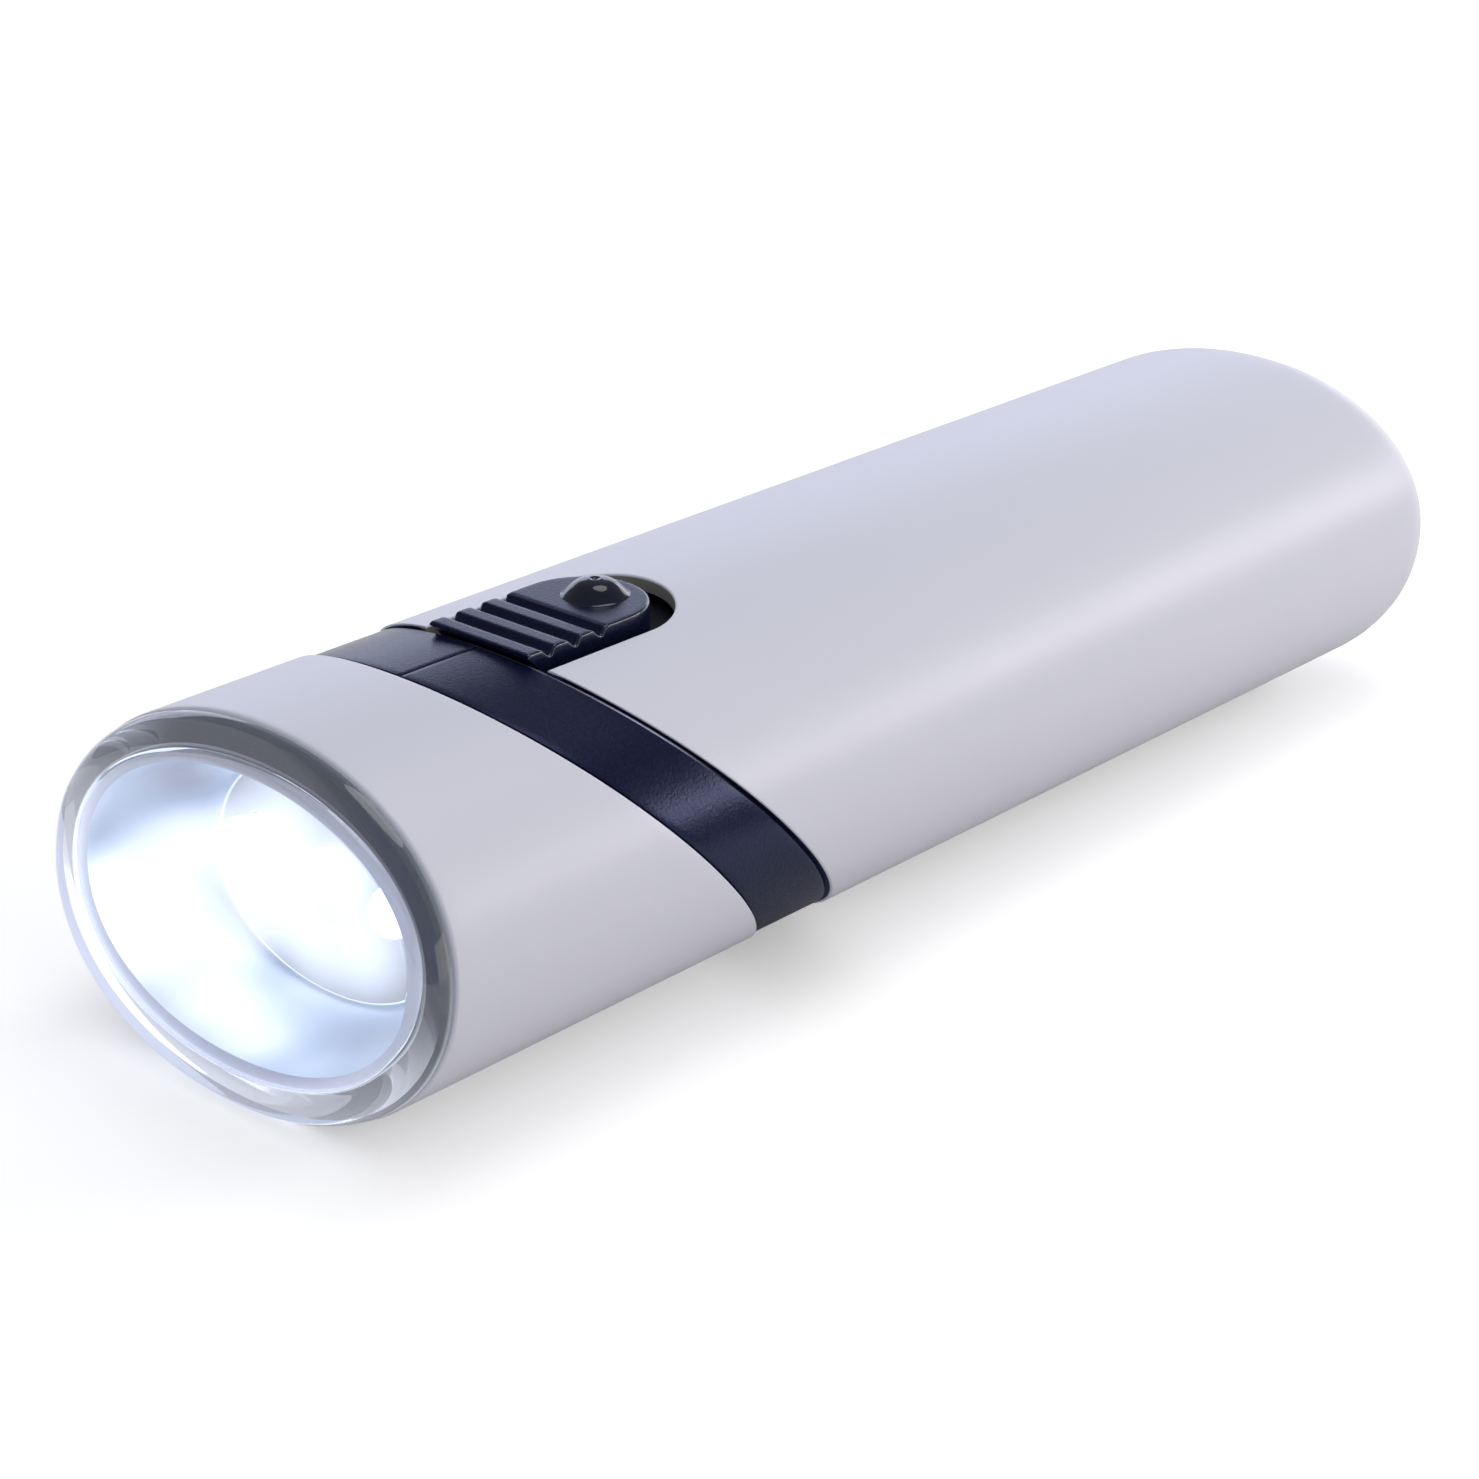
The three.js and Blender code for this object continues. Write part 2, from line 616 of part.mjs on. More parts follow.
// The whole chassis before it is split: band, tube walls, deck, shelf, walls, ribs and columns
function chassisWhole() {
  const bandOuter = bodySlice(bandRecess, bandStart, bandSlopeShare, bandEnd, bandSlopeShare);
  const tubeOuter = bodyForm(chassisInset, chassisFront, frontSlopeShare);
  const hollow = bodyForm(chassisInner, chassisFront - overrun, frontSlopeShare);
  const seat = cut(
    bodySlice(chassisInset + chassisWall / 2, reflectorFront + reflectorSkirtLength + fitGap,
      frontSlopeShare, reflectorFront + reflectorSkirtLength + fitGap + reflectorSeatLength,
      frontSlopeShare),
    bodySlice(chassisInner + reflectorSeatWidth, 0, frontSlopeShare,
      reflectorFront + reflectorSkirtLength + reflectorSeatLength + overrun, frontSlopeShare),
  );
  const room = [-bodyHalfWidth, bodyHalfWidth];
  const inside = (body) => body.intersect(tubeOuter);
  const [bayFrom, bayTo] = cradleSpan();
  const cellBore = bar('y', cellRadius + fitGap, bayFrom, bayTo, [0, 0, 0]);
  const shelf = inside(block(
    room, [stemCentre - carriageHalfLength - shelfReach / 2, stopWallPlace + stopWallThickness / 2],
    [shelfTop - shelfThickness, shelfTop],
  ));
  const stopWall = inside(block(
    room, [stopWallPlace, stopWallPlace + stopWallThickness], [-bodyHalfHeight, shelfTop],
  ));
  const ribs = cradleRibs().map((rib) => cut(rib, cellBore));
  const columns = screwColumns().map(inside);
  const tube = cut(join(tubeOuter, bandOuter), hollow);
  const shape = join(tube, seat, shelf, stopWall, ...columns, ...ribs);
  const bayTop = block(room, [slotEnd + chassisWall, bayTo], [cradleRail, bodyHalfHeight + overrun]);
  const deckFlat = block(
    [-slotHalfWidth - fitGap, slotHalfWidth + fitGap],
    [buttonFront + deckDrop, slotEnd + fitGap],
    [deckTop, bodyHalfHeight + overrun],
  );
  const stemSlot = block(
    [-stemHalfWidth - fitGap, stemHalfWidth + fitGap],
    [stemCentre - stemHalfLength - fitGap, stemCentre + stemHalfLength + switchTravel + fitGap],
    [deckUnder - overrun / 2, bodyHalfHeight],
  );
  const nubHole = bar('y', nubHoleRadius, stopWallPlace - overrun,
    stopWallPlace + stopWallThickness + overrun, [0, 0, 0]);
  const stripX = [longStripPlace - fitGap, longStripPlace + stripThickness + fitGap];
  const stripHalf = stripWidth / 2 + fitGap;
  const stripWay = block(stripX, [stopWallPlace - overrun, bayTo], [-stripHalf, stripHalf]);
  const riserWay = block(
    stripX,
    [stopWallPlace - fitGap - 2 * stripWidth - fitGap, stopWallPlace],
    [shelfTop - shelfThickness - overrun, shelfTop + overrun],
  );
  return cut(
    shape, bayTop, deckFlat, stemSlot, nubHole, stripWay, riserWay,
    gripPocket(1), gripPocket(-1), ...screwBores(),
  );
}

// One half of the chassis, on the side given as 1 for right and -1 for left
function chassisHalf(side) {
  const far = side * (bodyHalfWidth + overrun);
  const near = side * (fitGap / 2);
  const room = block(
    side > 0 ? [near, far] : [far, near],
    [-bodyHalfHeight, bodyLength + bodyHalfHeight],
    [-bodyHalfHeight - overrun, bodyHalfHeight + overrun],
  );
  return surface(chassisWhole().intersect(room));
}

// Outline of the thumb slide from above: straight sides and a round rear end
function buttonPlan() {
  const plan = new THREE.Shape();
  plan.moveTo(-buttonHalfWidth, buttonFront);
  plan.lineTo(buttonHalfWidth, buttonFront);
  plan.lineTo(buttonHalfWidth, buttonRoundCentre);
  plan.absarc(0, buttonRoundCentre, buttonHalfWidth, 0, Math.PI, false);
  plan.closePath();
  const body = new THREE.ExtrudeGeometry(plan, {
    depth: buttonHeight - 2 * buttonChamfer,
    bevelEnabled: true,
    bevelThickness: buttonChamfer,
    bevelSize: buttonChamfer,
    bevelOffset: -buttonChamfer,
    bevelSegments: 1,
    curveSegments: roundSides / 2,
  });
  body.translate(0, 0, buttonBottom + buttonChamfer);
  return solid(body);
}

// Outline of the thumb slide from the side: undercut lip, grip ridges and a flat pad behind them
function buttonProfile() {
  const side = new THREE.Shape();
  const far = buttonRoundCentre + buttonHalfWidth + overrun;
  side.moveTo(buttonFront + undercutHeight, buttonTop - undercutHeight);
  for (let i = 0; i < ridgeCount; i += 1) {
    ridgeShares.forEach(([along, down]) => {
      side.lineTo(buttonFront + (i + along) * ridgePitch, buttonTop - down * ridgeDepth);
    });
  }
  side.lineTo(buttonFront + ridgeCount * ridgePitch, buttonTop);
  side.lineTo(far, buttonTop);
  side.lineTo(far, buttonBottom - overrun);
  side.lineTo(buttonFront + undercutHeight, buttonBottom - overrun);
  side.closePath();
  const width = buttonHalfWidth + overrun;
  const body = new THREE.ExtrudeGeometry(side, { depth: 2 * width, bevelEnabled: false });
  // The outline is drawn with Y along its first axis and Z along its second
  const turn = new THREE.Matrix4().makeBasis(
    new THREE.Vector3(0, 1, 0), new THREE.Vector3(0, 0, 1), new THREE.Vector3(1, 0, 0),
  );
  body.applyMatrix4(turn);
  body.translate(-width, 0, 0);
  return solid(body);
}

// Thumb slide: ridged top with a bell-shaped knob, and a stem that goes through the deck
function sliderButton() {
  const knobPairs = domeShares.map(([r, h]) => [r * domeRadius, h * domeHeight]);
  const knob = turned([[0, -buttonHeight / 2], [domeRadius, -buttonHeight / 2], ...knobPairs]);
  knob.rotateX(Math.PI / 2);
  knob.translate(0, buttonRoundCentre + domeSetback, buttonTop);
  const stem = block(
    [-stemHalfWidth, stemHalfWidth],
    [stemCentre - stemHalfLength, stemCentre + stemHalfLength],
    [carriageBottom + fitGap, buttonBottom + buttonHeight / 2],
  );
  return surface(join(buttonPlan().intersect(buttonProfile()), solid(knob), stem));
}

// Carriage under the deck, with a hole for the stem and two click notches in its left side
function switchCarriage() {
  const body = block(
    [-carriageHalfWidth, carriageHalfWidth],
    [stemCentre - carriageHalfLength, stemCentre + carriageHalfLength],
    [carriageBottom, carriageTop],
  );
  const hole = block(
    [-stemHalfWidth - fitGap, stemHalfWidth + fitGap],
    [stemCentre - stemHalfLength - fitGap, stemCentre + stemHalfLength + fitGap],
    [carriageBottom - overrun, carriageTop + overrun],
  );
  const notches = [0, -switchTravel].map((shift) => bar(
    'z', detentDepth, carriageBottom - overrun, carriageTop + overrun,
    [-carriageHalfWidth, stemCentre + shift, 0], smallSides / 2,
  ));
  return surface(cut(body, hole, ...notches));
}

// Bridge under the carriage that joins the two fixed fingers, with a bump over each
function contactBridge() {
  const reach = carriageHalfWidth - fitGap;
  const leaf = block(
    [-reach, reach],
    [stemCentre - bridgeHalfLength, stemCentre + bridgeHalfLength],
    [bridgeBottom, bridgeTop],
  );
  const bumps = [-bridgeBumpSpread, bridgeBumpSpread].map((x) => bar(
    'z', bridgeBumpRadius, fingerTop + fitGap / 2, bridgeTop - stripThickness / 2,
    [x, stemCentre + bridgeHalfLength / 2, 0], smallSides,
  ));
  return surface(join(leaf, ...bumps));
}

// A bowed leaf between two feet: a thin strip whose middle stands out by the bow
function bowedLeaf(halfLength, bow, thickness, height) {
  const steps = smallSides;
  const edge = (offset) => Array.from({ length: steps + 1 }, (_, i) => {
    const share = (2 * i) / steps - 1;
    return new THREE.Vector2((bow - thickness) * (1 - share * share) + offset, share * halfLength);
  });
  const outline = new THREE.Shape([...edge(thickness), ...edge(0).reverse()]);
  return new THREE.ExtrudeGeometry(outline, { depth: height, bevelEnabled: false });
}

// Click spring on the shelf, left of the carriage, with its bow towards the notches
function detentSpring() {
  const leaf = bowedLeaf(detentLeafHalfLength, detentLeafBow, leafThickness, detentLeafHeight);
  leaf.translate(
    -carriageHalfWidth - fitGap - detentLeafBow, stemCentre, shelfTop + fitGap,
  );
  return weld(leaf);
}

// Spring in the flank pocket that grips the rear shell, on the side given as 1 or -1
function gripSpring(side) {
  const outer = bodyHalfWidth - chassisInset;
  const foot = outer - gripPocketDepth + fitGap;
  const crest = ovalReach(shellWall, gripSpringWidth / 2) - gripSpringGap;
  const leaf = bowedLeaf(gripSpringLength / 2, crest - foot, leafThickness, gripSpringWidth);
  leaf.translate(foot, 0, -gripSpringWidth / 2);
  if (side < 0) leaf.rotateY(Math.PI);
  leaf.translate(0, gripPlace(), 0);
  return weld(leaf);
}

// Positive contact: a plate in front of the first cell and a leg forward to the lamp board
function positiveContact() {
  const plateTo = stopWallPlace - fitGap;
  const plateFrom = plateTo - stripThickness;
  const half = stripWidth / 2;
  const legOut = frontStripPlace + stripThickness;
  const tabFrom = boardRear + fitGap;
  return surface(join(
    block([-contactPlateHalf, contactPlateHalf], [plateFrom, plateTo], [-contactPlateHalf, contactPlateHalf]),
    block([0, legOut], [plateFrom, plateTo], [-half, half]),
    block([frontStripPlace, legOut], [tabFrom, plateTo], [-half, half]),
    block([frontStripPlace - stripWidth, legOut], [tabFrom, tabFrom + stripThickness], [-half, half]),
  ));
}

// Long contact strip: tail plate, a leg along the right flank, a riser and a finger on the shelf
function longContactStrip() {
  const half = stripWidth / 2;
  const legX = [longStripPlace, longStripPlace + stripThickness];
  const plate = [tailPlatePlace, tailPlatePlace + stripThickness];
  const fingerY = [stopWallPlace - fitGap - 2 * stripWidth, stopWallPlace - fitGap];
  return surface(join(
    block([-contactPlateHalf, contactPlateHalf], plate, [-contactPlateHalf, contactPlateHalf]),
    block([0, legX[1]], plate, [-half, half]),
    block(legX, [fingerY[0], plate[1]], [-half, half]),
    block(legX, fingerY, [-half, fingerTop]),
    block([bridgeBumpSpread - stripWidth / 2, legX[1]], fingerY, [fingerBottom, fingerTop]),
  ));
}

// Lamp contact: a finger on the shelf that runs forward and down to the back of the board
function lampContact() {
  const half = stripWidth / 2;
  const x = [-bridgeBumpSpread - half, -bridgeBumpSpread + half];
  const foot = boardHalfHeight - 2 * stripThickness;
  const riserFrom = boardRear + frontSlopeShare * fingerTop + fitGap / 2;
  const breakPlace = stemCentre + bridgeHalfLength / 2 + bridgeBumpRadius + fitGap;
  return surface(join(
    block(x, [riserFrom, breakPlace], [fingerBottom, fingerTop]),
    block(x, [riserFrom, riserFrom + stripThickness], [foot, fingerTop]),
  ));
}

// Points of the tail spring's centre line: turns that widen and rise at a steady rate
function springPath() {
  const steps = Math.round(tailSpringTurns * springStepsPerTurn);
  const from = tailSpringStart + tailSpringWire / 2;
  const rise = tailSpringLength - tailSpringWire;
  return Array.from({ length: steps + 1 }, (_, i) => {
    const share = i / steps;
    const angle = 2 * Math.PI * tailSpringTurns * share;
    const radius = tailSpringNarrowRadius + (tailSpringWideRadius - tailSpringNarrowRadius) * share;
    return { angle, radius, y: from + rise * share };
  });
}

// Tail spring: one unbroken tube along its conical path
function tailSpring() {
  const rings = springPath().map(({ angle, radius, y }) => {
    const ring = [];
    for (let j = 0; j < wireSides; j += 1) {
      const turn = (2 * Math.PI * j) / wireSides;
      const reach = radius + (tailSpringWire / 2) * Math.cos(turn);
      ring.push(new THREE.Vector3(
        reach * Math.cos(angle), y + (tailSpringWire / 2) * Math.sin(turn), reach * Math.sin(angle),
      ));
    }
    return ring;
  });
  return loft(rings);
}

// Least gap between turns of the tail spring, measured between points at least half a turn apart
function springSelfGap() {
  const points = springPath().map(({ angle, radius, y }) => ({
    angle, at: new THREE.Vector3(radius * Math.cos(angle), y, radius * Math.sin(angle)),
  }));
  let least = Infinity;
  points.forEach((p, i) => {
    points.slice(i + 1).forEach((q) => {
      if (q.angle - p.angle >= Math.PI) least = Math.min(least, p.at.distanceTo(q.at));
    });
  });
  return least - tailSpringWire;
}

// One dry cell from its nub's tip at y = 0 back along +Y
function dryCell() {
  const shoulder = nubLength + cellRimRound;
  const foot = cellLength - cellRimRound;
  return weld(turned([
    [0, 0], [nubRadius, 0], [nubRadius, nubLength], [cellRadius - cellRimRound, nubLength],
    [cellRadius, shoulder], [cellRadius, foot], [cellRadius - cellRimRound, cellLength],
    [cellRadius - 2 * cellRimRound, cellLength], [cellRadius - 3 * cellRimRound, cellLength - cellDishDepth],
    [0, cellLength - cellDishDepth],
  ], roundSides));
}

// Assembly
const assembly = new THREE.Group();

// Adds a named mesh to a parent, at a place and with a turn where one is given
function place(parent, name, geometry, material, position = [0, 0, 0], rotation = [0, 0, 0]) {
  const mesh = new THREE.Mesh(geometry, material());
  mesh.name = name;
  mesh.position.set(...position);
  mesh.rotation.set(...rotation);
  parent.add(mesh);
  return mesh;
}

place(assembly, 'head_sleeve', headSleeve(), silverPaint);
place(assembly, 'rear_shell', rearShell(), silverPaint);
place(assembly, 'lens_cap', lensCap(), clearPlastic);
place(assembly, 'reflector', reflector(), chromed);
place(assembly, 'chassis_left', chassisHalf(-1), darkPlastic);
place(assembly, 'chassis_right', chassisHalf(1), darkPlastic);

const lampUnit = new THREE.Group();
lampUnit.position.set(0, boardCentre, 0);
lampUnit.rotation.x = headTilt;
assembly.add(lampUnit);
place(lampUnit, 'lamp_board', lampBoard(), boardLaminate);
ledPlaces.forEach((x, i) => {
  place(lampUnit, `led_${i + 1}`, lamp(), lampResin, [x, -boardThickness / 2 - fitGap, 0]);
});
place(lampUnit, 'resistor', resistor(), resistorCoat, [0, boardThickness / 2 + resistorLift, resistorRise]);
boardScrewPlaces.forEach((x, i) => {
  const seat = boardThickness / 2 + fitGap;
  place(lampUnit, `board_screw_${i + 1}`, boardScrewShape(), screwSteel, [x, seat, -boardScrewDrop]);
});

chassisScrewPlaces.forEach(([y, z], i) => {
  const seat = [-chassisScrewSeat - fitGap, y, z];
  place(assembly, `chassis_screw_${i + 1}`, chassisScrewShape(), screwSteel, seat, [0, 0, Math.PI / 2]);
});

place(assembly, 'slider_button', sliderButton(), darkPlastic);
place(assembly, 'switch_carriage', switchCarriage(), carriagePlastic);
place(assembly, 'contact_bridge', contactBridge(), contactBrass);
place(assembly, 'detent_spring', detentSpring(), springSteel);
place(assembly, 'positive_contact', positiveContact(), contactBrass);
place(assembly, 'lamp_contact', lampContact(), contactBrass);
place(assembly, 'long_contact_strip', longContactStrip(), contactBrass);
place(assembly, 'tail_spring', tailSpring(), springSteel);
place(assembly, 'grip_spring_left', gripSpring(-1), springSteel);
place(assembly, 'grip_spring_right', gripSpring(1), springSteel);
place(assembly, 'cell_front', dryCell(), cellJacket, [0, frontCellStart, 0]);
place(assembly, 'cell_rear', dryCell(), cellJacket, [0, rearCellStart, 0]);

console.log('tail spring, least gap to itself in mm:', springSelfGap().toFixed(2));

// The torch is set down on z = 0, centred on x = 0 and y = 0
const extent = new THREE.Box3().setFromObject(assembly);
assembly.position.set(0, -(extent.min.y + extent.max.y) / 2, -extent.min.z);

const torch = new THREE.Group();
torch.add(assembly);

export default torch;
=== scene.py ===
"""Dresses a flat-oval hand torch: fine surfaces, finishes, studio light and camera.

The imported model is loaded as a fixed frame. Shells, band, slide, clear cap, reflector, lamps, cells
and tail spring are made again here as fine surfaces, and the other pieces are copied with soft edges.
Lengths in the classes are millimetres round the body's axis, with y = 0 at the sleeve's front edge,
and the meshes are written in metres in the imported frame.
"""

import json
import logging
import math
from dataclasses import dataclass
from enum import Enum, IntEnum

import bmesh
import bpy
import numpy as np
from mathutils import Matrix, Vector
from mathutils.geometry import delaunay_2d_cdt


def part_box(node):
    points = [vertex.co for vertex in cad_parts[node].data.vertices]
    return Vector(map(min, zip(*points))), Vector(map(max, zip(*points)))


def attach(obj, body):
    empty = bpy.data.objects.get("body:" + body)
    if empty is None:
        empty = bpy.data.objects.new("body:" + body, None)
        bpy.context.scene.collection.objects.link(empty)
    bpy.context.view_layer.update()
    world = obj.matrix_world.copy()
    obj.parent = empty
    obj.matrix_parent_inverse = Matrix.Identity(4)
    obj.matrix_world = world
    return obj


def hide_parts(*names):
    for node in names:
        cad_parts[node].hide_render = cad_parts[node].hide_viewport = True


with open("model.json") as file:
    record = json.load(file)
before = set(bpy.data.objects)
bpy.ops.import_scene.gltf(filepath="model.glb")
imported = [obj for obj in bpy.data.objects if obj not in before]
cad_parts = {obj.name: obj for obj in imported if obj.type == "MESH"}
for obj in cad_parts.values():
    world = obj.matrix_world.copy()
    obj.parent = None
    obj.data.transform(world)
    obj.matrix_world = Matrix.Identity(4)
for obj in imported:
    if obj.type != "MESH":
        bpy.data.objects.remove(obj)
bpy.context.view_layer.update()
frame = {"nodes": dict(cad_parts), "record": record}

LOG = logging.getLogger("torch")
Array = np.ndarray
Profile = tuple[tuple[float, float], ...]
# A painted pool of light: x, y, z and size in millimetres, and strength
Pool = tuple[float, float, float, float, float]
Piece = bpy.types.Object
Material = bpy.types.Material
Tree = bpy.types.NodeTree
Node = bpy.types.Node
Socket = bpy.types.NodeSocket
MM = 0.001
FULL_TURN = 2 * math.pi
QUARTER = math.pi / 2
MIRROR_X = np.array([-1, 1, 1])
TINY = 1e-9
# Points nearer to each other than this are one point
MERGE_MM = 0.0005
# A Mix node's sockets for its two colours, and for the mixed one
MIX_A, MIX_B, MIX_OUT = 6, 7, 2
# Edges sharper than this stay hard, where a piece sets no angle of its own
SHARP_DEGREES = 38.0
# Columns round the oval of the shells and the cap
AROUND = 256


class Body(Enum):
    """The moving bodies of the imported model."""

    TORCH = "torch_body"
    SLIDE = "thumb_slide"
    SHELL = "shell"


class LampShape(Enum):
    """Outline of a soft box."""

    BOX = "RECTANGLE"
    ROUND = "ELLIPSE"


class ShellFace(IntEnum):
    """Faces of the shells, in the order of their finishes."""

    PAINT = 0
    BARE = 1
    LINING_AND_GAP_SHADE = 2


class ChromeFace(IntEnum):
    """Faces of the reflector, in the order of their finishes."""

    BOWL = 0
    BACK = 1
    RIM = 2
    FILLET = 3
    PLATE = 4


class GlossEdgeFace(IntEnum):
    """Faces of the band and the slide, in the order of their finishes. On the band's lip the edge carries a
    painted highlight.
    """

    BODY = 0
    EDGE = 1


class CellFace(IntEnum):
    """Faces of a cell, in the order of their finishes."""

    JACKET = 0
    METAL = 1


def linear(colour: str) -> tuple[float, float, float, float]:
    """Turns an sRGB hex colour into linear light, by the sRGB standard's curve.

    Args:
        colour: six hex digits after a hash.
    Returns:
        Linear red, green, blue and an alpha of 1.
    """
    shares = [int(colour[i:i + 2], 16) / 255 for i in (1, 3, 5)]
    parts = [c / 12.92 if c <= 0.04045 else ((c + 0.055) / 1.055) ** 2.4 for c in shares]
    return (*parts, 1.0)


# Body form

@dataclass(frozen=True)
class BodyOval:
    """The torch's section |x/a|^p + |z/b|^p = 1, and where its axis lies in the frame."""

    half_width: float
    half_height: float
    origin: tuple[float, float, float]
    power: float = 2.08
    rest_drop: float = 0.3

    @classmethod
    def from_frame(cls, band: "BandPlanes") -> "BodyOval":
        """Reads the oval from the sleeve's box and the axis from the thumb slide's front edge.

        Args:
            band: the planes of the dark band, whose rear edge meets the slide's front edge.
        Returns:
            The oval.
        """
        low, high = (np.array(corner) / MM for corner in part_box("head_sleeve"))
        half_width = (high[0] - low[0]) / 2
        half_height = (high[2] - low[2] + cls.rest_drop) / 2
        slide_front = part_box("slider_button")[0][1] / MM
        along = slide_front - (band.start + band.width + band.slope * half_height)
        return cls(half_width, half_height, (0.0, along, high[2] - half_height))

    def point(self, wide: Array, high: Array, place: Array, slope: Array, turn: Array) -> Array:
        """Points of an oval: x = wide * sgn(cos)|cos|^(2/p), z = high * sgn(sin)|sin|^(2/p).

        Args:
            wide: half width of the oval.
            high: half height of the oval.
            place: y of the oval's plane on the axis.
            slope: rise of y for each unit of z on that plane.
            turn: angle round the axis, from +x towards +z.
        Returns:
            An array of the shared shape of the arguments, with x, y and z last.
        """
        wide, high, place, slope, turn = np.broadcast_arrays(wide, high, place, slope, turn)
        bend = 2 / self.power
        x = wide * np.sign(np.cos(turn)) * np.abs(np.cos(turn)) ** bend
        z = high * np.sign(np.sin(turn)) * np.abs(np.sin(turn)) ** bend
        return np.stack([x, place + slope * z, z], axis=-1)

    def inset_point(self, inset: Array, place: Array, slope: Array, turn: Array) -> Array:
        """Points of the body's oval drawn in by an inset."""
        return self.point(self.half_width - inset, self.half_height - inset, place, slope, turn)

    def rise(self, x: Array, inset: Array) -> Array:
        """Height z of the drawn-in oval's upper side over x: b(1 - |x/a|^p)^(1/p)."""
        across = np.clip(np.abs(x) / (self.half_width - inset), 0, 1)
        return (self.half_height - inset) * (1 - across ** self.power) ** (1 / self.power)

    def turn_at(self, x: Array) -> Array:
        """Angle between the axis' side and the upper side's point over x: acos(|x/a|^(p/2))."""
        return np.arccos((np.abs(x) / self.half_width) ** (self.power / 2))

    def seated(self, points: Array) -> Array:
        """Lifts what lies below the narrow flat that the torch rests on."""
        points[..., 2] = np.maximum(points[..., 2], self.rest_drop - self.half_height)
        return points

    def placed(self, points: Array) -> Array:
        """Millimetres round the axis to metres in the frame."""
        return (points.reshape(-1, 3) + np.array(self.origin)) * MM


@dataclass(frozen=True)
class BandPlanes:
    """The two slanted planes that bound the dark band."""

    start: float = 33.3
    width: float = 10.1
    slope: float = -0.887
    gap: float = 0.22

    @property
    def end(self) -> float:
        """Place of the rear plane on the axis."""
        return self.start + self.width


# Rise of y for each unit of z on the plane of the front, and on that of the tail
FRONT_SLOPE = 0.146
TAIL_SLOPE = 0.212


# Mesh building

def full_turn(steps: int) -> Array:
    """Angles of evenly spaced points round a full turn."""
    return np.linspace(0, FULL_TURN, steps, endpoint=False)


def arc(radius: float, steps: int) -> tuple[Array, Array]:
    """A quarter circle from 0 on: r * sin, r * cos."""
    turn = np.linspace(0, QUARTER, steps)
    return radius * np.sin(turn), radius * np.cos(turn)


def lathe(pairs: Array, sides: int = 48) -> Array:
    """Grid of a profile of (radius, height) turned about Y: (r cos, h, r sin).

    Args:
        pairs: rows of radius and height.
        sides: points round the turn.
    Returns:
        A grid with a row for each point of the profile.
    """
    turn = full_turn(sides)[None, :]
    r, h = pairs[:, :1], pairs[:, 1:]
    return np.stack([r * np.cos(turn), h + 0 * turn, r * np.sin(turn)], axis=-1)


def rounded(pairs: Profile, radius: float, steps: int = 4) -> Array:
    """A polyline of (radius, height) whose inner corners are rounded by parabolas.

    Each corner c becomes the curve (1-s)^2 a + 2s(1-s) c + s^2 b, with a and b a radius away
    from it, or half a side away where the side is short.

    Args:
        pairs: the polyline's points.
        radius: distance from a corner at which its rounding starts.
        steps: points of each rounded corner.
    Returns:
        The rounded line's points.
    """
    line = np.array(pairs, float)
    out = [line[:1]]
    share = np.linspace(0, 1, steps)[:, None]
    for before, corner, after in zip(line, line[1:], line[2:]):
        sides = (before - corner, after - corner)
        lengths = [np.linalg.norm(side) for side in sides]
        reach = min(radius, *(length / 2 for length in lengths))
        a, b = (corner + side / max(length, TINY) * reach for side, length in zip(sides, lengths))
        out.append((1 - share) ** 2 * a + 2 * share * (1 - share) * corner + share ** 2 * b)
    out.append(line[-1:])
    return np.vstack(out)


def quads(rows: int, cols: int, wrap_cols: bool = True) -> Array:
    """Corner numbers of a grid's quads, each as a, next in row, next in both, next in column.

    Args:
        rows: points along the first way.
        cols: points along the second way.
        wrap_cols: whether the last column meets the first.
    Returns:
        An array of four corner numbers a quad.
    """
    i = np.arange(rows - 1)[:, None] * cols
    j = np.arange(cols if wrap_cols else cols - 1)[None, :]
    nj = (j + 1) % cols
    corners = [i + j, i + nj, i + cols + nj, i + cols + j]
    return np.stack(np.broadcast_arrays(*corners), axis=-1).reshape(-1, 4)


def smooth(mesh: bpy.types.Mesh, sharp_degrees: float) -> None:
    """Shades smooth, and keeps the edges hard that are sharper than an angle."""
    mesh.polygons.foreach_set("use_smooth", np.ones(len(mesh.polygons), bool))
    mesh.set_sharp_from_angle(angle=math.radians(sharp_degrees))


def linked(name: str, data: bpy.types.ID) -> Piece:
    """A new object with the data, linked to the scene.

    Args:
        name: the object's name.
        data: its mesh, lamp or camera.
    Returns:
        The object.
    """
    made = bpy.data.objects.new(name, data)
    bpy.context.scene.collection.objects.link(made)
    return made


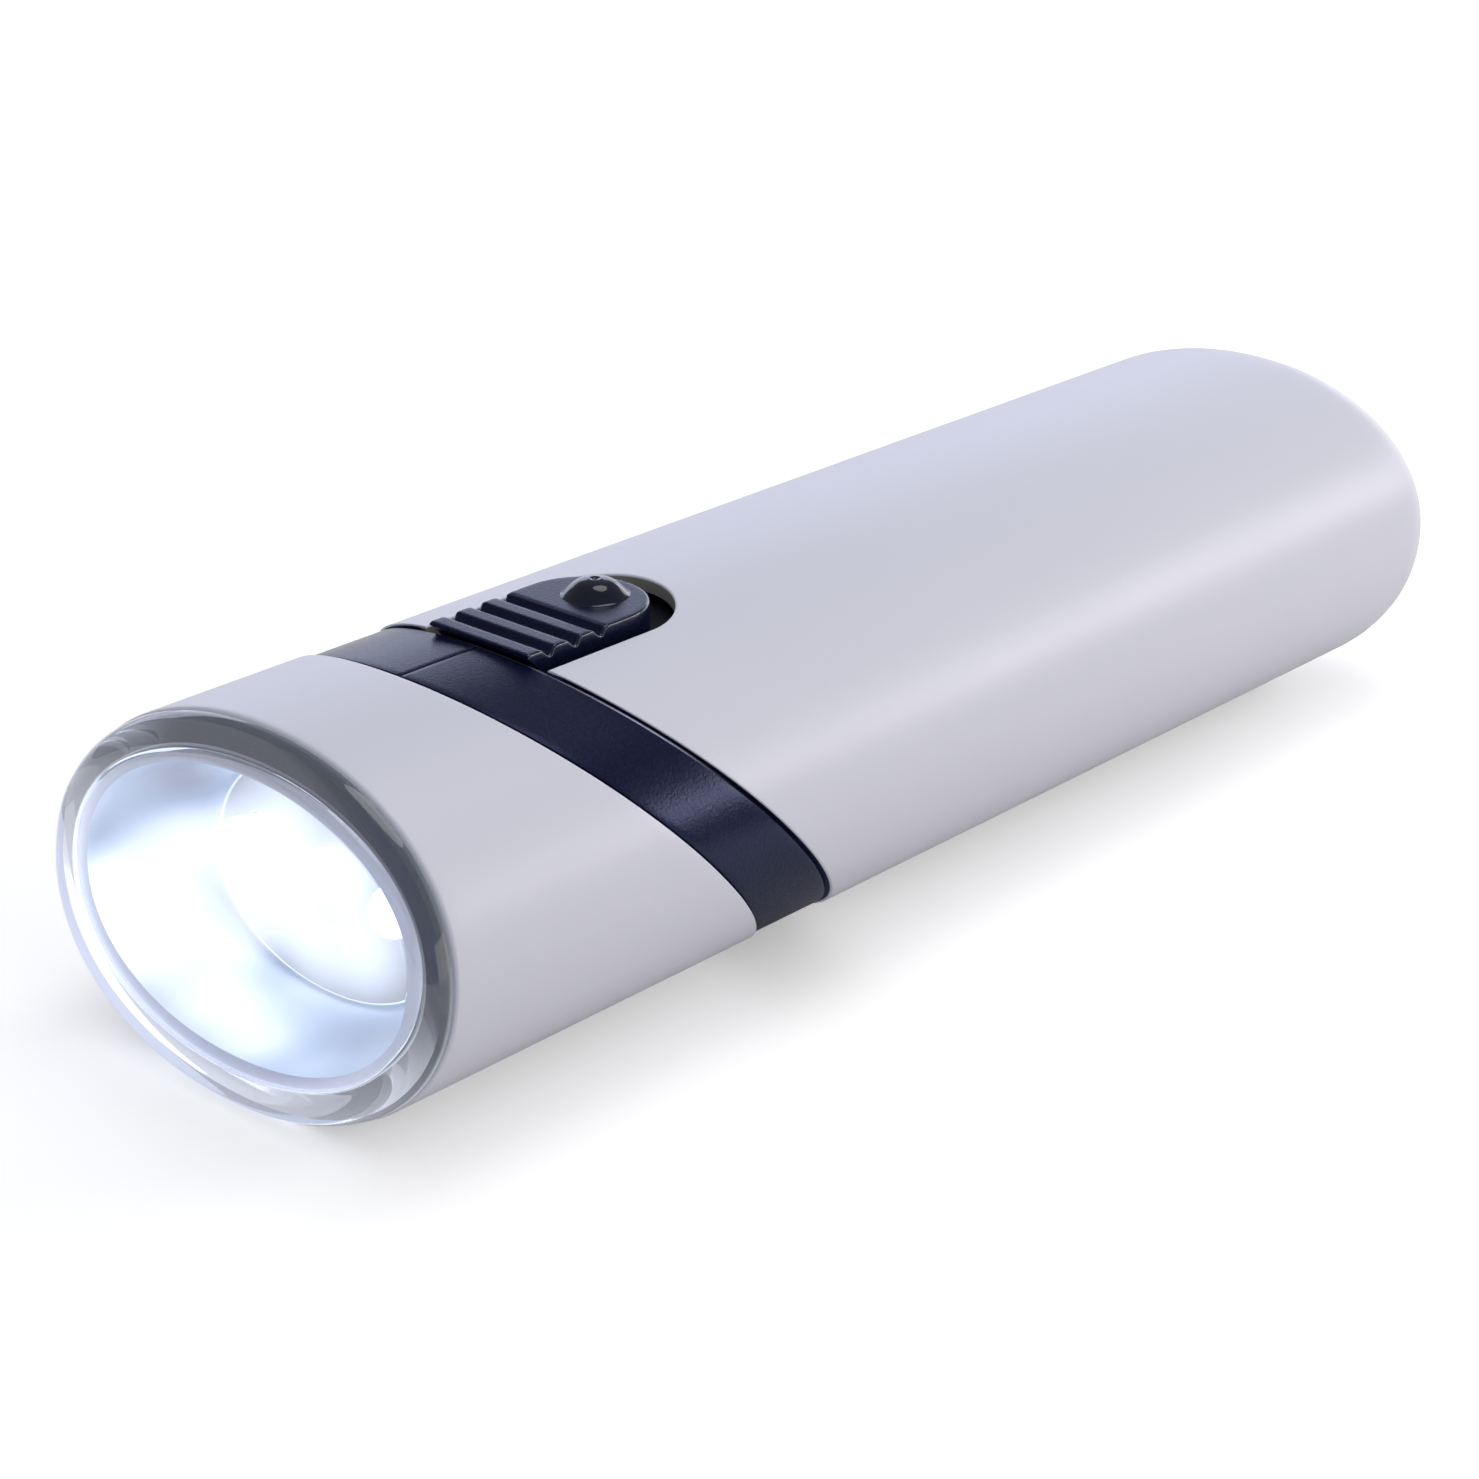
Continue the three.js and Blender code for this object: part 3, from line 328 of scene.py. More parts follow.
class Sheets:
    """Collects grids of points, each with a finish number, into one mesh."""

    def __init__(self) -> None:
        """Starts with no points."""
        self.points: list[Array] = []
        self.faces: list[list[int]] = []
        self.finishes: list[int] = []
        self.count = 0

    def add(self, points: Array, faces: Array, finish: int = 0) -> "Sheets":
        """Adds points and faces that number them from zero.

        Args:
            points: an array with x, y and z last.
            faces: corner numbers, a row a face.
            finish: the faces' finish number.
        Returns:
            These sheets.
        """
        flat = points.reshape(-1, 3)
        self.points.append(flat)
        self.faces += (faces + self.count).tolist()
        self.finishes += [finish] * len(faces)
        self.count += len(flat)
        return self

    def grid(self, points: Array, finish: int = 0, wrap_cols: bool = True) -> "Sheets":
        """Adds a grid of points with rows and columns."""
        return self.add(points, quads(*points.shape[:2], wrap_cols), finish)

    def disc(self, ring: Array) -> "Sheets":
        """Closes a ring with a fan to its middle.

        Args:
            ring: the ring's points.
        Returns:
            These sheets.
        """
        start = np.arange(len(ring))
        fan = np.stack([start, (start + 1) % len(ring), np.full(len(ring), len(ring))], axis=1)
        return self.add(np.vstack([ring, ring.mean(axis=0)]), fan)

    def build(self, name: str, oval: BodyOval, finishes: list[Material],
              sharp_degrees: float = SHARP_DEGREES) -> Piece:
        """Makes the object, with doubles merged and faces turned outwards.

        Args:
            name: the piece's name.
            oval: gives the place of the axis in the frame.
            finishes: materials in the order of the finish numbers.
            sharp_degrees: edges sharper than this stay hard.
        Returns:
            The object, at the origin, with its place in its mesh.
        """
        mesh = bpy.data.meshes.new(name)
        mesh.from_pydata(oval.placed(np.vstack(self.points)).tolist(), [], self.faces)
        for finish in finishes:
            mesh.materials.append(finish)
        mesh.polygons.foreach_set("material_index", np.array(self.finishes, dtype=np.int32))
        work = bmesh.new()
        work.from_mesh(mesh)
        bmesh.ops.remove_doubles(work, verts=work.verts, dist=MERGE_MM * MM)
        bmesh.ops.recalc_face_normals(work, faces=work.faces)
        work.to_mesh(mesh)
        work.free()
        smooth(mesh, sharp_degrees)
        mesh.update()
        return linked(name, mesh)


def seat(piece: Piece, body: Body, slot: str, *nodes: str) -> None:
    """Rides a piece on its body, hides and names the nodes it stands for, and reports it.

    Args:
        piece: the finished object.
        body: the body that it moves with.
        slot: its material slot; not used.
        nodes: the nodes that it stands for.
    """
    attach(piece, body.value)
    if nodes:
        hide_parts(*nodes)
    LOG.info("%s rides on %s and stands for %s", piece.name, body.value, ", ".join(nodes) or "no node")


# Finishes

def add_node(tree: Tree, kind: str, settings: dict | None = None, links: dict | None = None) -> Node:
    """Adds a shader node.

    Args:
        tree: the material's or world's node tree.
        kind: Blender's node type.
        settings: values of properties, or of inputs where a name or number is an input's.
        links: input name or number to the output socket that feeds it.
    Returns:
        The new node.
    """
    node = tree.nodes.new(kind)
    for key, value in (settings or {}).items():
        if isinstance(key, int) or key in node.inputs:
            node.inputs[key].default_value = value
        else:
            setattr(node, key, value)
    for key, source in (links or {}).items():
        tree.links.new(source, node.inputs[key])
    return node


def fall_off(tree: Tree, away: Socket, reach_mm: float) -> Socket:
    """exp(-(away / reach)^2): 1 where the distance away is 0, and near 0 past twice the reach.

    Args:
        tree: the material's node tree.
        away: a distance in metres.
        reach_mm: the reach in millimetres.
    Returns:
        The output socket.
    """
    share = add_node(tree, "ShaderNodeMath", {"operation": "DIVIDE", 1: reach_mm * MM}, {0: away}).outputs[0]
    square = add_node(tree, "ShaderNodeMath", {"operation": "MULTIPLY"}, {0: share, 1: share}).outputs[0]
    negative = add_node(tree, "ShaderNodeMath", {"operation": "MULTIPLY", 1: -1.0}, {0: square}).outputs[0]
    return add_node(tree, "ShaderNodeMath", {"operation": "EXPONENT"}, {0: negative}).outputs[0]


@dataclass(frozen=True)
class Finish:
    """A moulded or painted surface, with fine bumps, mottling and uneven gloss."""

    name: str
    colour: str
    roughness: float = 0.5
    metallic: float = 0.0
    ior: float = 1.5
    coat: float = 0.0
    grain_mm: float = 0.4
    grain_height_mm: float = 0.004
    mottle_mm: float = 14.0
    mottle_share: float = 0.03
    gloss_share: float = 0.06
    transmission: float = 0.0
    specular: float = 0.5
    specular_tint: str = "#FFFFFF"
    sheen: float = 0.0
    sheen_tint: str = "#FFFFFF"

    def noise(self, tree: Tree, size_mm: float) -> Socket:
        """Noise from 0 to 1 on Object coordinates, with features of a size in millimetres.

        Args:
            tree: the material's node tree.
            size_mm: size of the features.
        Returns:
            The output socket.
        """
        where = add_node(tree, "ShaderNodeTexCoord").outputs["Object"]
        return add_node(tree, "ShaderNodeTexNoise", {"Scale": 1 / (size_mm * MM)},
                        {"Vector": where}).outputs["Fac"]

    def base_colour(self, tree: Tree) -> Socket | None:
        """The colour, lighter and darker by the mottle's share over patches of its size.

        Args:
            tree: the material's node tree.
        Returns:
            The colour's socket, or nothing where the colour is even.
        """
        dark, light = ([min(1, c * (1 + part)) for c in linear(self.colour)[:3]] + [1]
                       for part in (-self.mottle_share, self.mottle_share))
        return add_node(tree, "ShaderNodeMix", {"data_type": "RGBA", MIX_A: dark, MIX_B: light},
                        {"Factor": self.noise(tree, self.mottle_mm)}).outputs[MIX_OUT]

    def extras(self, tree: Tree, shader: Node) -> None:
        """Adds what a special finish needs. The plain finish needs nothing more."""

    def material(self) -> Material:
        """The material, made once for each name. Its gloss varies over half the mottle's size.

        Returns:
            The material.
        """
        if self.name in bpy.data.materials:
            return bpy.data.materials[self.name]
        material = bpy.data.materials.new(self.name)
        material.use_nodes = True
        tree = material.node_tree
        tree.nodes.clear()
        gloss = add_node(tree, "ShaderNodeMapRange", {
            "To Min": max(0.0, self.roughness - self.gloss_share),
            "To Max": self.roughness + self.gloss_share,
        }, {"Value": self.noise(tree, self.mottle_mm / 2)})
        bump = add_node(tree, "ShaderNodeBump", {"Distance": self.grain_height_mm * MM},
                        {"Height": self.noise(tree, self.grain_mm)})
        settings = {
            "Metallic": self.metallic, "Coat Weight": self.coat, "Transmission Weight": self.transmission,
            "Specular IOR Level": self.specular, "Specular Tint": linear(self.specular_tint),
            "Sheen Weight": self.sheen, "Sheen Tint": linear(self.sheen_tint),
            "Base Color": linear(self.colour),
        }
        if self.metallic < 1:
            settings["IOR"] = self.ior
        shader = add_node(tree, "ShaderNodeBsdfPrincipled", settings, {
            "Roughness": gloss.outputs["Result"], "Normal": bump.outputs["Normal"],
        })
        pattern = self.base_colour(tree)
        if pattern is not None:
            tree.links.new(pattern, shader.inputs["Base Color"])
        self.extras(tree, shader)
        add_node(tree, "ShaderNodeOutputMaterial", links={"Surface": shader.outputs["BSDF"]})
        return material


@dataclass(frozen=True)
class EdgeLitPlastic(Finish):
    """Polished clear plastic with a painted glow on its rim, most of it to one side, for the lamps' light
    that it leads there.

    With q = (x / a, z / b) from the cap's middle, the glow is ramp(|q|) * ramp(q . d), with d the
    lightest side, and a thin line of light along the rim's back edge that fades more slowly.
    """

    middle: tuple[float, float, float] = (0.0, 0.0, 0.0)
    half_width: float = 26.0
    half_height: float = 17.3
    lightest: tuple[float, float, float] = (-0.5, 0.0, -0.866)
    slope: float = 0.0
    rim_ramp: tuple[float, float] = (0.72, 0.84)
    lit_ramp: tuple[float, float] = (-0.3, 0.95)
    least_glow: float = 0.02
    glow: float = 0.25
    line_ramp_mm: tuple[float, float] = (-0.85, -0.4)
    line_end_mm: float = -0.31
    line_fade: tuple[float, float] = (-1.15, 0.95)
    line_glow: float = 0.65
    tint: str = "#F3F4FC"

    def base_colour(self, tree: Tree) -> None:
        """Leaves the even tint on the shader's own socket."""
        return None

    def extras(self, tree: Tree, shader: Node) -> None:
        """Links the painted glow to the emission's strength.

        Args:
            tree: the material's node tree.
            shader: its surface shader.
        """
        where = add_node(tree, "ShaderNodeTexCoord").outputs["Object"]
        away = add_node(tree, "ShaderNodeVectorMath", {
            "operation": "SUBTRACT", 1: tuple(c * MM for c in self.middle)}, {0: where}).outputs["Vector"]
        share = add_node(tree, "ShaderNodeVectorMath", {
            "operation": "MULTIPLY", 1: (1 / (self.half_width * MM), 0, 1 / (self.half_height * MM)),
        }, {0: away}).outputs["Vector"]
        reach = add_node(tree, "ShaderNodeVectorMath", {"operation": "LENGTH"}, {0: share})
        side = add_node(tree, "ShaderNodeVectorMath",
                        {"operation": "DOT_PRODUCT", 1: self.lightest}, {0: share})
        rim = add_node(tree, "ShaderNodeMapRange", {
            "interpolation_type": "SMOOTHSTEP", "From Min": self.rim_ramp[0], "From Max": self.rim_ramp[1],
        }, {"Value": reach.outputs["Value"]})
        lit = add_node(tree, "ShaderNodeMapRange", {
            "From Min": self.lit_ramp[0], "From Max": self.lit_ramp[1], "To Min": self.least_glow,
            "To Max": self.glow,
        }, {"Value": side.outputs["Value"]})
        along = add_node(tree, "ShaderNodeVectorMath", {
            "operation": "DOT_PRODUCT", 1: (0, 1 / MM, -self.slope / MM)}, {0: away}).outputs["Value"]
        line = add_node(tree, "ShaderNodeMapRange", {
            "interpolation_type": "SMOOTHSTEP", "From Min": self.line_ramp_mm[0],
            "From Max": self.line_ramp_mm[1],
        }, {"Value": along})
        ahead = add_node(tree, "ShaderNodeMath", {"operation": "LESS_THAN", 1: self.line_end_mm}, {0: along})
        thin = add_node(tree, "ShaderNodeMath", {"operation": "MULTIPLY"},
                        {0: line.outputs["Result"], 1: ahead.outputs[0]})
        round_about = add_node(tree, "ShaderNodeMapRange", {
            "From Min": self.line_fade[0], "From Max": self.line_fade[1], "To Max": self.line_glow,
        }, {"Value": side.outputs["Value"]})
        spread = add_node(tree, "ShaderNodeMath", {"operation": "MULTIPLY"},
                          {0: rim.outputs["Result"], 1: lit.outputs["Result"]})
        edge = add_node(tree, "ShaderNodeMath", {"operation": "MULTIPLY_ADD"},
                        {0: thin.outputs[0], 1: round_about.outputs["Result"], 2: spread.outputs[0]})
        shader.inputs["Emission Color"].default_value = linear(self.tint)
        tree.links.new(edge.outputs[0], shader.inputs["Emission Strength"])


@dataclass(frozen=True)
class LitChrome(Finish):
    """Vacuum-metallised plastic, with the lamps' light painted on it as glow.

    The glow is an even share, plus a sum of round pools, strength * exp(-(distance / size)^2). Each
    pool gives its place as x, y and z, its size, both in millimetres, and its strength.
    """

    pools: tuple[Pool, ...] = ()
    cool: str = "#BCD8EA"
    warm: str = "#FFFFFF"
    floor_glow: float = 0.25
    warmth_gain: float = 1.8

    def extras(self, tree: Tree, shader: Node) -> None:
        """Links the pools' sum to the emission's colour and strength.

        Args:
            tree: the material's node tree.
            shader: its surface shader.
        """
        if not self.pools:
            shader.inputs["Emission Color"].default_value = linear(self.cool)
            shader.inputs["Emission Strength"].default_value = self.floor_glow
            return
        where = add_node(tree, "ShaderNodeTexCoord").outputs["Object"]
        total = None
        for x, y, z, size, strength in self.pools:
            away = add_node(tree, "ShaderNodeVectorMath",
                            {"operation": "DISTANCE", 1: (x * MM, y * MM, z * MM)}, {0: where})
            pool = add_node(tree, "ShaderNodeMath", {"operation": "MULTIPLY", 1: strength},
                            {0: fall_off(tree, away.outputs["Value"], size)})
            if total is None:
                total = pool.outputs[0]
            else:
                total = add_node(tree, "ShaderNodeMath", {"operation": "ADD"},
                                 {0: total, 1: pool.outputs[0]}).outputs[0]
        warmth = add_node(tree, "ShaderNodeMath", {
            "operation": "MULTIPLY", 1: self.warmth_gain, "use_clamp": True}, {0: total})
        tint = add_node(tree, "ShaderNodeMix", {
            "data_type": "RGBA", MIX_A: linear(self.cool), MIX_B: linear(self.warm),
        }, {"Factor": warmth.outputs[0]})
        level = add_node(tree, "ShaderNodeMath", {"operation": "ADD", 1: self.floor_glow}, {0: total})
        tree.links.new(tint.outputs[MIX_OUT], shader.inputs["Emission Color"])
        tree.links.new(level.outputs[0], shader.inputs["Emission Strength"])


@dataclass(frozen=True)
class LampResin(Finish):
    """Clear epoxy of a lit lamp: white light from all of it."""

    glow: float = 2.5
    tint: str = "#F4F8FF"

    def extras(self, tree: Tree, shader: Node) -> None:
        """Sets the even glow on the shader's own sockets."""
        shader.inputs["Emission Color"].default_value = linear(self.tint)
        shader.inputs["Emission Strength"].default_value = self.glow


@dataclass(frozen=True)
class CellJacket(Finish):
    """Printed shrink film round a dry cell: a wide plain field with a metallic band near one end."""

    band_colour: str = "#C9B27A"
    starts: tuple[float, ...] = ()
    from_mm: float = 34.0
    to_mm: float = 46.0

    def base_colour(self, tree: Tree) -> Socket:
        """The field's colour, and the band's where y lies between its two edges on a cell.

        Args:
            tree: the material's node tree.
        Returns:
            The colour's socket.
        """
        where = add_node(tree, "ShaderNodeTexCoord").outputs["Object"]
        along = add_node(tree, "ShaderNodeSeparateXYZ", links={0: where}).outputs["Y"]
        inside = None
        for start in self.starts:
            after, before = (
                add_node(tree, "ShaderNodeMath", {"operation": operation, 1: (start + edge) * MM}, {0: along})
                for operation, edge in (("GREATER_THAN", self.from_mm), ("LESS_THAN", self.to_mm)))
            both = add_node(tree, "ShaderNodeMath", {"operation": "MULTIPLY"},
                            {0: after.outputs[0], 1: before.outputs[0]}).outputs[0]
            inside = both if inside is None else add_node(
                tree, "ShaderNodeMath", {"operation": "MAXIMUM"}, {0: inside, 1: both}).outputs[0]
        return add_node(tree, "ShaderNodeMix", {
            "data_type": "RGBA", MIX_A: linear(self.colour), MIX_B: linear(self.band_colour),
        }, {"Factor": inside}).outputs[MIX_OUT]


@dataclass(frozen=True)
class PaintedHighlight(Finish):
    """Plastic with a pale highlight painted along an edge, brightest at a height z, by exp(-((z - middle) /
    reach)^2).
    """

    pale: str = "#C4C8E4"
    middle_mm: float = 0.0
    reach_mm: float = 3.0

    def base_colour(self, tree: Tree) -> Socket:
        """The colour, paler towards the height of the painted highlight.

        Args:
            tree: the material's node tree.
        Returns:
            The colour's socket.
        """
        where = add_node(tree, "ShaderNodeTexCoord").outputs["Object"]
        up = add_node(tree, "ShaderNodeSeparateXYZ", links={0: where}).outputs["Z"]
        away = add_node(tree, "ShaderNodeMath", {"operation": "SUBTRACT", 1: self.middle_mm * MM}, {0: up})
        return add_node(tree, "ShaderNodeMix", {
            "data_type": "RGBA", MIX_A: linear(self.colour), MIX_B: linear(self.pale),
        }, {"Factor": fall_off(tree, away.outputs[0], self.reach_mm)}).outputs[MIX_OUT]


# Satin lacquer over ABS: soft, wide highlights on a faintly violet silver
SILVER = Finish("silver_satin_lacquer", "#D2D2DC", roughness=0.4, ior=1.5, grain_mm=2.2,
                grain_height_mm=0.0025, mottle_mm=30, mottle_share=0.012, gloss_share=0.03)
# Bare ABS inside the shells and on their cut edges: matt grey brown
SUBSTRATE = Finish("grey_abs_substrate", "#9A9692", roughness=0.6, ior=1.53, grain_mm=0.5,
                   grain_height_mm=0.006, mottle_share=0.06)
# Bare ABS inside the head sleeve: a darker blue grey. On the rear shell's cut wall beside the band it is
# painted shade
LINING_AND_GAP_SHADE = Finish("slate_abs_lining_and_gap_shade", "#1C2C58", roughness=0.55, ior=1.53, grain_mm=0.5,
                grain_height_mm=0.006, mottle_share=0.06)
# Spark-eroded navy ABS of the band and slide: dark, with a fine broken sheen. The real grain is
# about 0.1 mm, and its bumps and speckle are drawn three to four times as coarse so that they show
NAVY = Finish("navy_textured_abs", "#0C1128", roughness=0.29, ior=1.53, grain_mm=0.3,
              grain_height_mm=0.026, mottle_mm=0.4, mottle_share=0.9, specular=0.34, specular_tint="#B4BEFF",
              sheen=0.03, sheen_tint="#5563D0")
# The same ABS where edges are rubbed smooth
NAVY_EDGE = Finish("navy_rubbed_abs", "#10162E", roughness=0.2, ior=1.53, coat=0.4, grain_mm=0.35,
                   grain_height_mm=0.002, gloss_share=0.03)
# The same ABS moulded against a polished tool, on the knob
NAVY_GLOSS = Finish("navy_polished_abs", "#0A0E20", roughness=0.1, ior=1.53, coat=0.25, grain_mm=3,
                    grain_height_mm=0.001, gloss_share=0.03)
# The same ABS of the chassis inside, left from a plain tool, and darker than the band outside: painted shade
# in the slot and inside the torch
SHADED_CHASSIS = Finish("navy_abs_painted_shade", "#080A12", roughness=0.6, ior=1.53, grain_mm=0.6,
                 grain_height_mm=0.01, mottle_share=0.08, specular=0.2)
# Epoxy resin of a lit white lamp
LAMP = LampResin("lit_epoxy_lamp", "#F2F6FF", roughness=0.15, ior=1.53, grain_mm=2,
                 grain_height_mm=0.001)
# Glass-fibre laminate with solder mask
LAMINATE = Finish("white_solder_mask", "#E4E6E4", roughness=0.45, ior=1.5, grain_mm=0.8,
                  grain_height_mm=0.006, mottle_share=0.1)
# Fired lacquer on a resistor
RESISTOR_COAT = Finish("beige_resistor_lacquer", "#CDB48A", roughness=0.5, grain_mm=0.5)
# Acetal of the switch carriage: waxy off-white
ACETAL = Finish("natural_acetal", "#DAD6C8", roughness=0.42, ior=1.48, grain_mm=0.7,
                grain_height_mm=0.004)
# Stamped brass: warm, with fine rolling marks
BRASS = Finish("stamped_brass", "#D9B566", roughness=0.3, metallic=1.0, grain_mm=0.35,
               grain_height_mm=0.002, mottle_share=0.08)
# Drawn spring wire and leaf, bright
SPRING = Finish("bright_spring_steel", "#C3C5C8", roughness=0.25, metallic=1.0, grain_mm=0.3,
                grain_height_mm=0.002, mottle_share=0.05)
# Zinc-plated screws
SCREW = Finish("zinc_plated_steel", "#A9ADB3", roughness=0.33, metallic=1.0, grain_mm=0.3,
               grain_height_mm=0.003, mottle_share=0.08)
# Nickel-plated end caps of a cell
CELL_CAP = Finish("nickel_plated_cap", "#C9CBCE", roughness=0.24, metallic=1.0, grain_mm=0.8,
                  grain_height_mm=0.002, mottle_share=0.06)
# The reflector's moulded back and skirt, metallised over a satin surface
CHROME_BACK = Finish("satin_vacuum_chrome", "#A2B6DC", roughness=0.32, metallic=1.0, grain_mm=0.7,
                     grain_height_mm=0.003)


# Sub-assemblies

@dataclass
class Shells:
    """Head sleeve and rear shell: painted outside, bare inside."""

    oval: BodyOval
    band: BandPlanes
    wall: float = 1.4
    sleeve_bevel: float = 0.4
    edge_round: float = 0.22
    slot_half: float = 8.0
    slot_centre: float = 42.55
    margin: float = 0.9
    margin_middle: float = 0.6
    tail_start: float = 146.3
    tail_length: float = 8.82
    tail_inset: float = 10.8
    spread_rate: float = 3.0
    row_ease: float = 1.15
    sleeve_rings: int = 28
    round_steps: int = 6
    lip_steps: int = 7
    notch_columns: int = 41
    rest_columns: int = 202
    side_rows: int = 12
    long_rows: int = 46
    tail_rows: int = 20
    cap_rows: int = 9

    def __post_init__(self) -> None:
        """Makes the finishes: the paint, the bare plastic, and the sleeve's lining, which also paints shade
        on the shell's cut wall by the band.
        """
        self.finishes = [SILVER.material(), SUBSTRATE.material(), LINING_AND_GAP_SHADE.material()]

    def make_sleeve(self) -> Piece:
        """A closed profile of (inset, y, slope) carried round the oval.

        The slope changes evenly from the front plane's to the band's along the tube.

        Returns:
            The sleeve's object.
        """
        rear = self.band.start - self.band.gap
        sin_f, cos_f = arc(self.sleeve_bevel, self.round_steps)
        sin_r, cos_r = arc(self.edge_round, self.round_steps)
        share = np.linspace(0, 1, self.sleeve_rings)[1:-1]
        change = self.band.slope - FRONT_SLOPE
        from_y, to_y = self.sleeve_bevel, rear - self.edge_round
        inset = np.concatenate([from_y - sin_f, 0 * share, self.edge_round - cos_r])
        place = np.concatenate([from_y - cos_f, from_y + (to_y - from_y) * share, to_y + sin_r])
        slope = np.concatenate([np.full(self.round_steps, FRONT_SLOPE), FRONT_SLOPE + change * share,
                                np.full(self.round_steps, self.band.slope)])
        turn = full_turn(AROUND)[None, :]
        outer = self.oval.inset_point(inset[:, None], place[:, None], slope[:, None], turn)
        back = share[::-1]
        inner = self.oval.inset_point(
            self.wall, np.concatenate([[rear], rear * back, [0.0]])[:, None],
            np.concatenate([[self.band.slope], FRONT_SLOPE + change * back, [FRONT_SLOPE]])[:, None], turn)
        rim_rear = self.oval.seated(np.stack([outer[-1], inner[0]]))
        rim_front = self.oval.seated(np.stack([inner[-1], outer[0]]))
        sheets = Sheets().grid(self.oval.seated(outer)).grid(rim_rear, ShellFace.LINING_AND_GAP_SHADE)
        sheets.grid(inner, ShellFace.LINING_AND_GAP_SHADE).grid(rim_front)
        return sheets.build("head_sleeve_fine", self.oval, self.finishes)

    def shell_columns(self) -> Array:
        """Angles of the shell's columns: first over the notch, then on round the rest.

        Returns:
            The angles round the axis.
        """
        x = (self.slot_half + self.margin) * np.cos(np.linspace(0, math.pi, self.notch_columns))
        turn = self.oval.turn_at(x)
        notch = np.where(x >= 0, turn, math.pi - turn)
        rest = np.linspace(notch[-1], FULL_TURN + notch[0], self.rest_columns)[1:-1]
        return np.concatenate([notch, rest])

    def edge(self, away: float, depth: float) -> Array:
        """The shell's front edge as a closed line, set back into the shell and down into its wall.

        The line starts in the notch, follows its straight side, its half circle and its other side,
        and comes back round the outside on the slanted plane.

        Args:
            away: distance from the edge, into the shell.
            depth: distance below the outer surface.
        Returns:
            The points of the line.
        """
        front = self.band.end + self.band.gap
        plane = self.oval.inset_point(depth, front + away, self.band.slope,
                                      self.shell_columns()[self.notch_columns:])
        reach = self.slot_half + away
        swing = np.linspace(0, math.pi, self.notch_columns)
        x = reach * np.cos(swing)
        y = self.slot_centre + reach * np.sin(swing)
        round_end = np.stack([x, y, self.oval.rise(x, depth)], axis=-1)
        corner = front + self.band.slope * float(self.oval.rise(np.array(self.slot_half), 0))
        share = np.linspace(0, 1, self.side_rows)[:-1]
        side_y = corner + away + (self.slot_centre - corner - away) * share
        side_z = self.oval.rise(np.array(reach), depth)
        right = np.stack(np.broadcast_arrays(reach, side_y, side_z), axis=-1)
        return np.vstack([right, round_end, (right * MIRROR_X)[::-1], plane])

    def skin(self, depth: float) -> tuple[Array, Array]:
        """The shell's surface behind its edge strip, at a depth below the outside.

        The long form goes from its first line to the tail's first oval: y by the share s^1.15, x and
        z three times as fast. Round the tail the inset grows by 1 - cos and the place by sin, and
        the oval then shrinks evenly to its middle.

        Args:
            depth: distance below the outer surface.
        Returns:
            The strip on both sides of the notch, and the long form that closes in the tail.
        """
        columns, rows = self.shell_columns(), self.side_rows
        right, notch, left, plane = np.split(
            self.edge(self.margin, depth), np.cumsum([rows - 1, self.notch_columns, rows - 1]))
        second = plane + np.array([0, self.slot_centre - right[0][1], 0])
        flank = plane + (second - plane) * np.linspace(0, 1, rows)[:, None, None]
        left_line = np.vstack([left[::-1], notch[-1:]])[:, None]
        right_line = np.vstack([right, notch[:1]])[:, None]
        strip = np.concatenate([left_line, flank, right_line], axis=1)
        start = np.vstack([notch, second])
        end = self.oval.inset_point(depth, self.tail_start, TAIL_SLOPE, columns)
        ease = (np.linspace(0, 1, self.long_rows) ** self.row_ease)[:, None, None]
        spread = np.minimum(1, self.spread_rate * ease)
        long_form = start + (end - start) * np.concatenate([spread, ease, spread], axis=-1)
        turn = np.linspace(0, QUARTER, self.tail_rows)[1:, None]
        inset = depth + (self.tail_inset - depth) * (1 - np.cos(turn))
        place = self.tail_start + (self.tail_length - depth) * np.sin(turn)
        tail = self.oval.inset_point(inset, place, TAIL_SLOPE, columns)
        shrink = np.linspace(1, 0, self.cap_rows)[1:, None]
        wide = (self.oval.half_width - self.tail_inset) * shrink
        high = (self.oval.half_height - self.tail_inset) * shrink
        cap = self.oval.point(wide, high, place[-1], TAIL_SLOPE, columns)
        return strip, np.concatenate([long_form, tail, cap])

    def make_shell(self) -> Piece:
        """Outer and inner skins joined by an edge strip that rounds over and goes down the wall.

        Returns:
            The shell's object.
        """
        sheets = Sheets()
        for depth, finish in ((0.0, ShellFace.PAINT), (self.wall, ShellFace.BARE)):
            strip, long_form = self.skin(depth)
            if finish is ShellFace.PAINT:
                strip, long_form = self.oval.seated(strip), self.oval.seated(long_form)
            sheets.grid(strip, finish, wrap_cols=False).grid(long_form, finish)
        over, down = arc(self.edge_round, self.lip_steps)
        away = np.concatenate([[self.margin, self.margin_middle], self.edge_round - over])
        depth = np.concatenate([[0.0, 0.0], self.edge_round - down])
        lip = self.oval.seated(np.stack([self.edge(a, d) for a, d in zip(away, depth)]))
        wall = self.oval.seated(np.stack([
            self.edge(0.0, self.edge_round), self.edge(0.0, self.wall), self.edge(self.margin, self.wall)]))
        notch = 2 * (self.side_rows - 1) + self.notch_columns
        sheets.grid(lip).grid(wall[:, :notch + 1], ShellFace.BARE, wrap_cols=False)
        # The cut wall along the band's plane gets the dark lining as painted shade in the gap, where the
        # notch's wall is bare grey
        sheets.grid(wall[:, np.r_[notch:wall.shape[1], 0]], ShellFace.LINING_AND_GAP_SHADE, wrap_cols=False)
        return sheets.build("rear_shell_fine", self.oval, self.finishes)

    def build(self) -> None:
        """Makes both shells."""
        seat(self.make_sleeve(), Body.TORCH, "silver_shell", "head_sleeve")
        seat(self.make_shell(), Body.SHELL, "silver_shell", "rear_shell")


